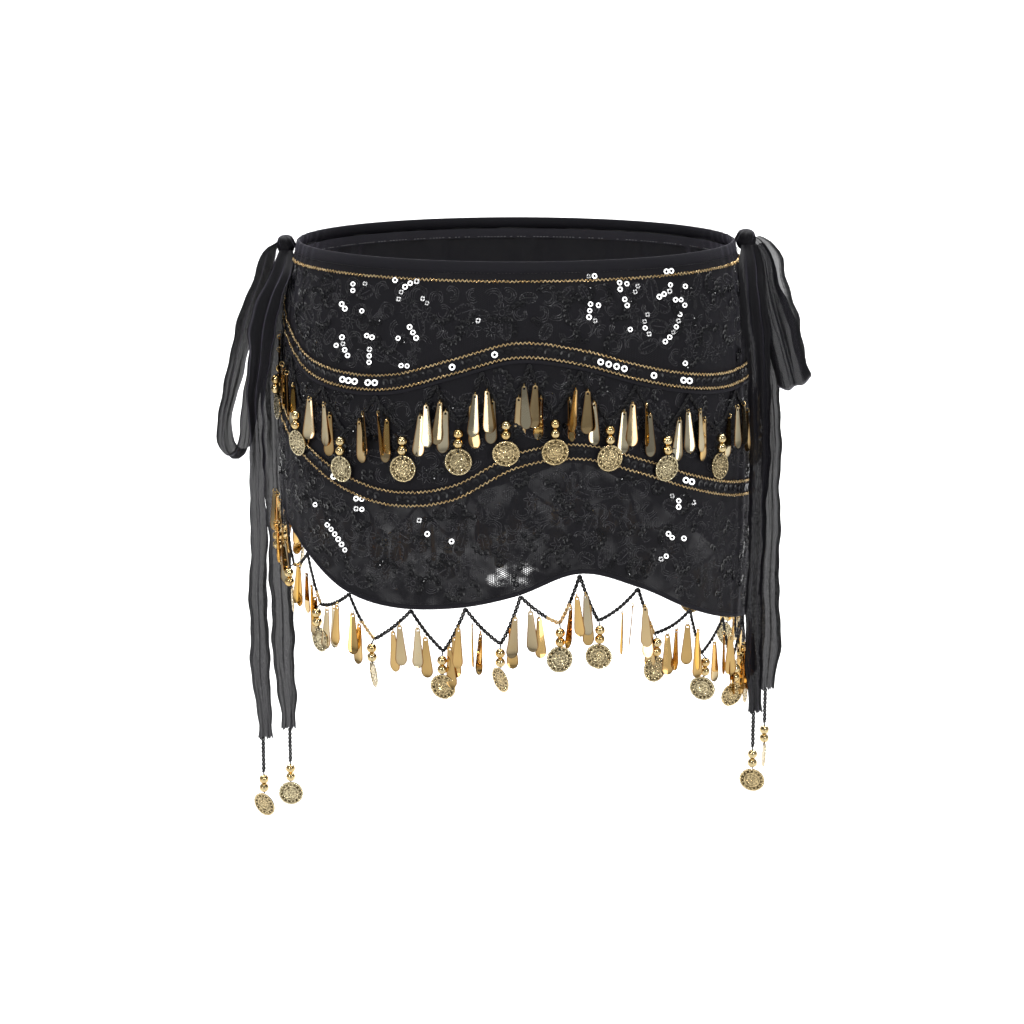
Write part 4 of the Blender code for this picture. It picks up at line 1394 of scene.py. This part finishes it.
# Ribbons of the side ties, from the knot down: middle line across, back and height, true width,
# depth of the folds, and the turn about the vertical from facing the front to lying along the hip
TAILS = {
    "tail_left_outer": (
        (-159.2, -7.1, -3.5, 9.0, 0.5, 0),
        (-161.8, -18.0, -17.0, 20.0, 1.2, 46),
        (-169.0, -22.5, -34.0, 26.0, 1.6, 42),
        (-175.5, -23.0, -57.0, 26.0, 1.8, 40),
        (-178.0, -22.0, -80.0, 22.0, 1.8, 38),
        (-181.0, -19.0, -104.0, 15.0, 1.8, 30),
        (-181.5, -16.0, -128.0, 12.0, 1.6, 20),
        (-181.5, -12.0, -195.0, 12.5, 1.6, 10),
        (-183.0, -10.0, -253.0, 13.0, 1.6, 0),
        (-183.0, -8.0, -298.0, 14.0, 1.8, 0),
        (-181.0, -8.0, -330.0, 12.0, 1.8, 0),
        (-180.5, -8.0, -356.0, 6.0, 1.2, 0),
    ),
    "tail_left_inner": (
        (-159.2, 7.4, -3.5, 8.0, 0.5, 0),
        (-164.0, 20.0, -20.0, 12.0, 1.2, 0),
        (-167.5, 29.0, -45.0, 18.0, 1.6, 0),
        (-173.5, 40.0, -119.0, 19.0, 1.8, 0),
        (-173.0, 44.0, -193.0, 16.5, 1.8, 0),
        (-171.5, 45.0, -238.0, 16.5, 1.8, 0),
        (-171.0, 45.0, -284.0, 16.5, 1.8, 0),
        (-170.0, 45.0, -314.0, 16.0, 1.8, 0),
        (-168.5, 45.0, -345.0, 13.0, 1.6, 0),
        (-168.0, 45.0, -366.0, 6.0, 1.2, 0),
    ),
    "tail_right_inner": (
        (160.0, -7.6, 0.5, 9.0, 0.5, 0),
        (161.0, -19.0, -14.0, 19.0, 1.2, -35),
        (163.3, -28.0, -38.0, 21.0, 1.4, -25),
        (166.8, -34.5, -78.0, 17.0, 1.6, -15),
        (168.3, -38.0, -104.0, 15.0, 1.6, 0),
        (168.6, -38.5, -159.0, 13.5, 1.6, 0),
        (167.5, -38.0, -217.0, 11.0, 1.6, 0),
        (167.0, -38.0, -260.0, 12.0, 1.6, 0),
        (167.0, -38.0, -289.0, 12.0, 1.8, 0),
        (169.0, -38.0, -311.0, 10.0, 1.6, 0),
        (169.5, -38.0, -327.0, 6.0, 1.2, 0),
    ),
    "tail_right_outer": (
        (160.5, 7.6, 0.5, 8.0, 0.5, 0),
        (166.0, 14.5, -20.0, 12.0, 1.2, 0),
        (171.0, 18.0, -50.0, 13.0, 1.6, 0),
        (179.5, 21.0, -107.0, 15.0, 1.8, 0),
        (182.0, 21.0, -151.0, 14.0, 1.8, 0),
        (183.0, 21.0, -202.0, 13.0, 1.6, 0),
        (183.5, 21.0, -262.0, 14.0, 1.8, 0),
        (184.5, 21.0, -292.0, 15.0, 1.8, 0),
        (184.0, 21.0, -312.0, 13.0, 1.6, 0),
        (183.0, 21.0, -328.0, 6.0, 1.2, 0),
    ),
}

# Bow loops, out from the knot, round the end and back: middle line across, back and height, and
# width. LOOP_ACROSS has the direction of the width.
LOOPS = {
    "bow_loop_left": (
        (-163.5, 1.4, 1.5, 9.0),
        (-171.0, 4.0, -5.0, 20.0),
        (-177.0, 7.0, -25.0, 26.0),
        (-186.5, 9.5, -49.0, 28.0),
        (-193.5, 11.0, -74.0, 28.0),
        (-200.5, 12.5, -104.0, 27.0),
        (-206.0, 13.0, -124.0, 28.0),
        (-206.5, 13.0, -141.0, 28.0),
        (-201.0, 13.0, -150.0, 28.0),
        (-194.0, 13.0, -147.5, 28.0),
        (-190.5, 12.5, -136.0, 27.0),
        (-188.0, 12.0, -114.0, 25.0),
        (-183.5, 11.0, -84.0, 22.0),
        (-177.0, 9.0, -52.0, 17.0),
        (-169.5, 6.5, -24.0, 12.0),
        (-164.5, 4.5, -10.0, 6.0),
    ),
    "bow_loop_right": (
        (163.5, -2.2, 4.5, 9.0),
        (168.5, -3.2, -0.5, 16.0),
        (174.0, -4.0, -13.0, 22.0),
        (177.5, -5.0, -33.0, 27.0),
        (182.0, -5.5, -53.0, 29.0),
        (187.5, -6.0, -71.0, 30.0),
        (192.5, -6.0, -87.0, 30.0),
        (195.0, -4.5, -94.0, 30.0),
        (196.0, 0.5, -97.0, 30.0),
        (195.5, 6.0, -94.5, 30.0),
        (192.5, 9.0, -86.0, 29.0),
        (186.5, 10.5, -68.0, 27.0),
        (180.5, 9.5, -46.0, 22.0),
        (176.5, 7.5, -28.0, 15.0),
        (172.8, 4.5, -12.0, 11.0),
        (166.5, 3.0, -1.0, 8.0),
    ),
}
LOOP_ACROSS = {"bow_loop_left": (0.44, 0.9, 0.0), "bow_loop_right": (0.956, 0.0, 0.29)}

# Folds of a gathered ribbon across its width: share of the width, and share of the fold depth
TAIL_FOLDS = ((-0.5, 0.3), (-0.3, -1.0), (-0.08, 0.8), (0.15, -0.8), (0.34, 1.0), (0.5, -0.2))
LOOP_FOLDS = ((-0.5, 0.0), (-0.22, 0.9), (0.06, -0.9), (0.3, 0.7), (0.5, -0.2))
LOOP_FOLD = 1.3
RIBBON_STEP = 4.0
RIBBON_ACROSS = 28
RIBBON_MAP = 60
FLARE_RUN = 12.0
FRAY = 1.6
TAIL_FLARE = 0.9
LOOP_DROOP = 5.0
LOOP_NARROW = 0.24
LOOP_SHEER = {"bow_loop_left": 10.0, "bow_loop_right": 110.0}

# How doubled the chiffon of a ribbon is, from -1 for the thinnest to 1
DOUBLED = {"tail_right_inner": 0.9, "bow_loop_right": -1.0, "tail_left_outer": 0.15, "tail_right_outer": 0.15}

# Strings and coins at the tie ends: place of the string across, back and at its top, and the turn
# of the coin
TIE_DROPS = (
    ("drop_left_outer", -182.0, -8.0, -356.4, 30),
    ("drop_left_inner", -167.0, 45.0, -366.4, 0),
    ("drop_right_inner", 168.0, -38.0, -327.4, 10),
    ("drop_right_outer", 181.5, 21.0, -328.4, 85),
)
TIE_STRING = 26.0


def refine(rows):
    """The rows of a table with smooth ones between them, about a step apart along the middle line."""
    fine = []
    for k in range(len(rows) - 1):
        ends = [Vector(rows[min(max(k + n, 0), len(rows) - 1)]) for n in (-1, 0, 1, 2)]
        apart = (Vector(rows[k + 1][:3]) - Vector(rows[k][:3])).length
        parts = max(1, round(apart / RIBBON_STEP))
        fine += [between_rows(ends, n / parts) for n in range(parts)]
    fine.append(Vector(rows[-1]))
    return fine


def between_rows(ends, t):
    """A smooth curve through the middle two of four rows."""
    before, first, second, after = ends
    bend = 2 * before - 5 * first + 4 * second - after + t * (3 * (first - second) + after - before)
    return first + 0.5 * t * (second - before + t * bend)


def ribbon(name, rows, folds, frame_of, flare=0.0, droop=0.0, sheer_from=0.0):
    """A gathered chiffon ribbon along a middle line. frame_of gives its width and depth directions
    and its fold depth. flare spreads and frays its end, droop rounds the bottom of a loop, and
    the cloth gets see-through sooner by sheer_from."""
    shape = Shape()
    grid, places = [], []
    centres = [Vector(row[:3]) for row in rows]
    steps = [(after - before).length for before, after in zip(centres, centres[1:])]
    whole = sum(steps)
    run = 0.0
    for k, row in enumerate(rows):
        wide, deep, fold = frame_of(k, rows)
        run += steps[k - 1] if k else 0.0
        middle = centres[k] + wide * 0.5 * math.sin(0.09 * run + 1)
        opened = flare * max(0.0, 1 - (whole - run) / FLARE_RUN) ** 2
        bent = math.sin(math.pi * run / whole) ** 8 if droop else 0.0
        width = row[3] * (1 + 0.06 * math.sin(0.13 * run) + 0.05 * math.sin(0.29 * run + 2))
        width *= (1 + opened) * (1 - LOOP_NARROW * bent)
        fold *= 1 + 1.2 * opened
        line, place = [], []
        for n in range(RIBBON_ACROSS + 1):
            share = n / RIBBON_ACROSS - 0.5
            ripple = 0.12 * math.sin(2 * math.pi * (3.2 * share + 0.006 * run))
            depth = fold * (smooth_read(folds, 1, share) + ripple)
            low = droop * bent * (1 - 4 * share * share)
            low += opened * FRAY * abs(math.sin(17 * share + 5 * share * share))
            line.append(middle + wide * share * width + deep * depth - UP * low)
            place.append((share * RIBBON_MAP * MM, (run + sheer_from) * MM))
        grid.append(line)
        places.append(place)
    shape.grid(grid, places, DOUBLED.get(name, 0.0))
    thing = shape.build(name + "_chiffon", CHIFFON, "ribbon")
    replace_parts(thing, name)


def tail_frame(k, rows):
    """Directions of a tail's width and depth at a row, and the depth of its folds."""
    return *turned(RIGHT, BACK, -rows[k][5]), rows[k][4]


def loop_frame(across):
    """A frame_of for a bow loop whose width lies along across."""

    def frame_of(k, rows):
        before, after = (Vector(row[:3]) for row in neighbours(rows, k))
        return across, (after - before).cross(across).normalized(), LOOP_FOLD

    return frame_of


def knot_ball(side, across, back, height, half_across, half_deep, half_high):
    """A gathered knot: a ball with pleats that wrap round it."""
    shape = Shape()
    middle = Vector((across, back, height))
    out = -1 if side == "left" else 1
    points = []
    for r in range(1, KNOT_RINGS):
        tilt = math.pi * r / KNOT_RINGS
        for s in range(KNOT_SIDES):
            turn = 2 * math.pi * s / KNOT_SIDES
            pleat = abs(math.sin(4.5 * turn + 2.2 * tilt))
            pleat += 0.5 * abs(math.sin(3 * tilt + 1.5 * math.sin(turn)))
            girth = math.sin(tilt) ** 0.8 * (0.86 + 0.2 * pleat)
            x = out * half_across * girth * math.cos(turn)
            y = half_deep * girth * math.sin(turn)
            points.append(middle + Vector((x, y, half_high * math.cos(tilt))))
    points += [middle + UP * half_high, middle - UP * half_high]
    shape.add(points, ball_faces(KNOT_RINGS - 1, KNOT_SIDES))
    thing = shape.build(f"knot_{side}_chiffon", CHIFFON, "ribbon")
    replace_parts(thing, "knot_" + side)


def build_ties():
    for knot in KNOTS:
        knot_ball(*knot)
    for name, rows in TAILS.items():
        ribbon(name, refine(rows), TAIL_FOLDS, tail_frame, flare=TAIL_FLARE)
    for name, rows in LOOPS.items():
        frame_of = loop_frame(Vector(LOOP_ACROSS[name]).normalized())
        ribbon(name, refine(rows), LOOP_FOLDS, frame_of, droop=LOOP_DROOP, sheer_from=LOOP_SHEER[name])
    for name, x, y, top, turn in TIE_DROPS:
        parts = {key: Shape() for key in ("strings", "beads", "coins")}
        path = [Vector((x, y, top - n * TIE_STRING / 8)) for n in range(9)]
        crochet(parts["strings"], path, -BACK)

        def place_at(below, layer):
            return Vector((x, y, top - TIE_STRING - below))

        strand(parts, place_at, RIGHT, -BACK, turn, random.Random(name))
        build_parts(name, parts)


# Lining inside the upper back. Its distances are behind the face of the cloth.

LINING_TOP = -4.3
LINING_ABOVE_BAND = 9.0
LINING_DEPTH = 1.9
GATHER_TOP = 1.5
GATHER_GROWTH = 1.8
LINING_ROWS = 12
LINING_STEP = 0.5
CASING_HIGH = -4.2
CASING_LOW = -11.4


def gather(angle, part):
    """Soft folds of uneven width that fan out towards the bottom."""
    spread = angle + 3.0 * math.sin(math.radians(angle * 4)) * part
    fold = math.sin(math.radians(spread * 27)) + 0.6 * math.sin(math.radians(spread * 41 + 60))
    return 0.5 + 0.5 * max(-1.0, min(1.0, fold))


def lining_out(angle, part):
    return -LINING_DEPTH - (GATHER_TOP + GATHER_GROWTH * part) * gather(angle, part)


def build_lining():
    """The gathered lining, and the stitched casing above it, whose cloth is painted lighter: painted light.
    """
    angles = half_columns(90, LINING_STEP)
    bottom = at_line("upper_band", LINING_ABOVE_BAND)
    shape = body_sheet(angles, LINING_ROWS, at_level(LINING_TOP), bottom, lining_out)
    thing = shape.build("lining_back_cloth", LINING, "binding")
    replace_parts(thing, "lining_back")
    casing = belt(90, at_level(CASING_LOW), at_level(CASING_HIGH), -3.9, 0.8)
    sewing = Shape()
    stitches(sewing, Flat(90), at_level(CASING_LOW + 1.2), -4.4, random.Random("casing"), 0.25)
    trim = [
        casing.build("casing_back", CASING_PAINTED_LIGHT, "binding"),
        sewing.build("casing_stitches", PALE_THREAD, "binding"),
    ]


# Stage, light and camera

# The backdrop's outline from the front to the top, in metres, and its reach to each side
BACKDROP = ((-6, -0.6), (-2, -0.6), (1.5, -0.6), (2.4, -0.5), (2.9, -0.2), (3.1, 0.4), (3.2, 2.0), (3.2, 6.0))
BACKDROP_REACH = 8
WORLD_LIGHT = 0.25
FOCAL_LENGTH = 100
SENSOR_WIDTH = 36
CAMERA_TILT = 13.66

# Lamps: name, place, what it points at, power in watts, width, height and spread in degrees
LAMPS = (
    ("key", KEY_PLACE, (0.0, -0.1, -0.12), 12.0, 0.26, 0.26, 180),
    ("fill", FILL_PLACE, (0.0, -0.1, -0.12), 10.0, 0.24, 0.24, 180),
    ("top", (0.0, -0.6, 2.3), (0.0, 0.0, -0.1), 14.0, 1.6, 0.9, 180),
    ("backdrop_left", (-1.2, 1.7, 2.2), (-0.6, 1.7, -0.6), 62.0, 1.8, 1.8, 98),
    ("backdrop_right", (1.2, 1.7, 2.2), (0.6, 1.7, -0.6), 62.0, 1.8, 1.8, 98),
    ("low_left", (-0.8, -1.05, -0.34), (0.0, -0.1, -0.15), 0.6, 0.22, 0.4, 180),
    ("low_right", (0.8, -1.05, -0.34), (0.0, -0.1, -0.15), 0.6, 0.22, 0.4, 180),
)


def add_to_scene(name, data, place=(0, 0, 0)):
    thing = bpy.data.objects.new(name, data)
    thing.location = place
    bpy.context.scene.collection.objects.link(thing)
    return thing


def build_stage():
    floor = bpy.data.meshes.new("floor")
    points = [(x, y, z) for y, z in BACKDROP for x in (-BACKDROP_REACH, BACKDROP_REACH)]
    faces = [(k, k + 1, k + 3, k + 2) for k in range(0, len(points) - 2, 2)]
    floor.from_pydata(points, [], faces)
    floor.polygons.foreach_set("use_smooth", [True] * len(floor.polygons))
    floor.materials.append(floor_material())
    add_to_scene("floor", floor)
    world = bpy.data.worlds.new("studio")
    bpy.context.scene.world = world
    world.use_nodes = True
    background = world.node_tree.nodes["Background"]
    background.inputs["Color"].default_value = (1, 1, 1, 1)
    background.inputs["Strength"].default_value = WORLD_LIGHT
    for name, place, target, power, wide, high, spread in LAMPS:
        lamp = bpy.data.lights.new(name, "AREA")
        lamp.shape = "RECTANGLE"
        lamp.energy = power
        lamp.size = wide
        lamp.size_y = high
        lamp.spread = math.radians(spread)
        aim = Vector(target) - Vector(place)
        add_to_scene(name, lamp, place).rotation_euler = aim.to_track_quat("-Z", "Y").to_euler()


def build_camera():
    lens = bpy.data.cameras.new("camera")
    lens.lens = FOCAL_LENGTH
    lens.sensor_width = SENSOR_WIDTH
    camera = add_to_scene("camera", lens, CAMERA_PLACE)
    camera.rotation_euler = (math.radians(90 - CAMERA_TILT), 0, 0)
    bpy.context.scene.camera = camera
    bpy.context.scene.view_settings.view_transform = "Standard"


build_panels(build_embroidery())
build_belts()
build_lining()
build_fringes()
build_ties()
build_stage()
build_camera()
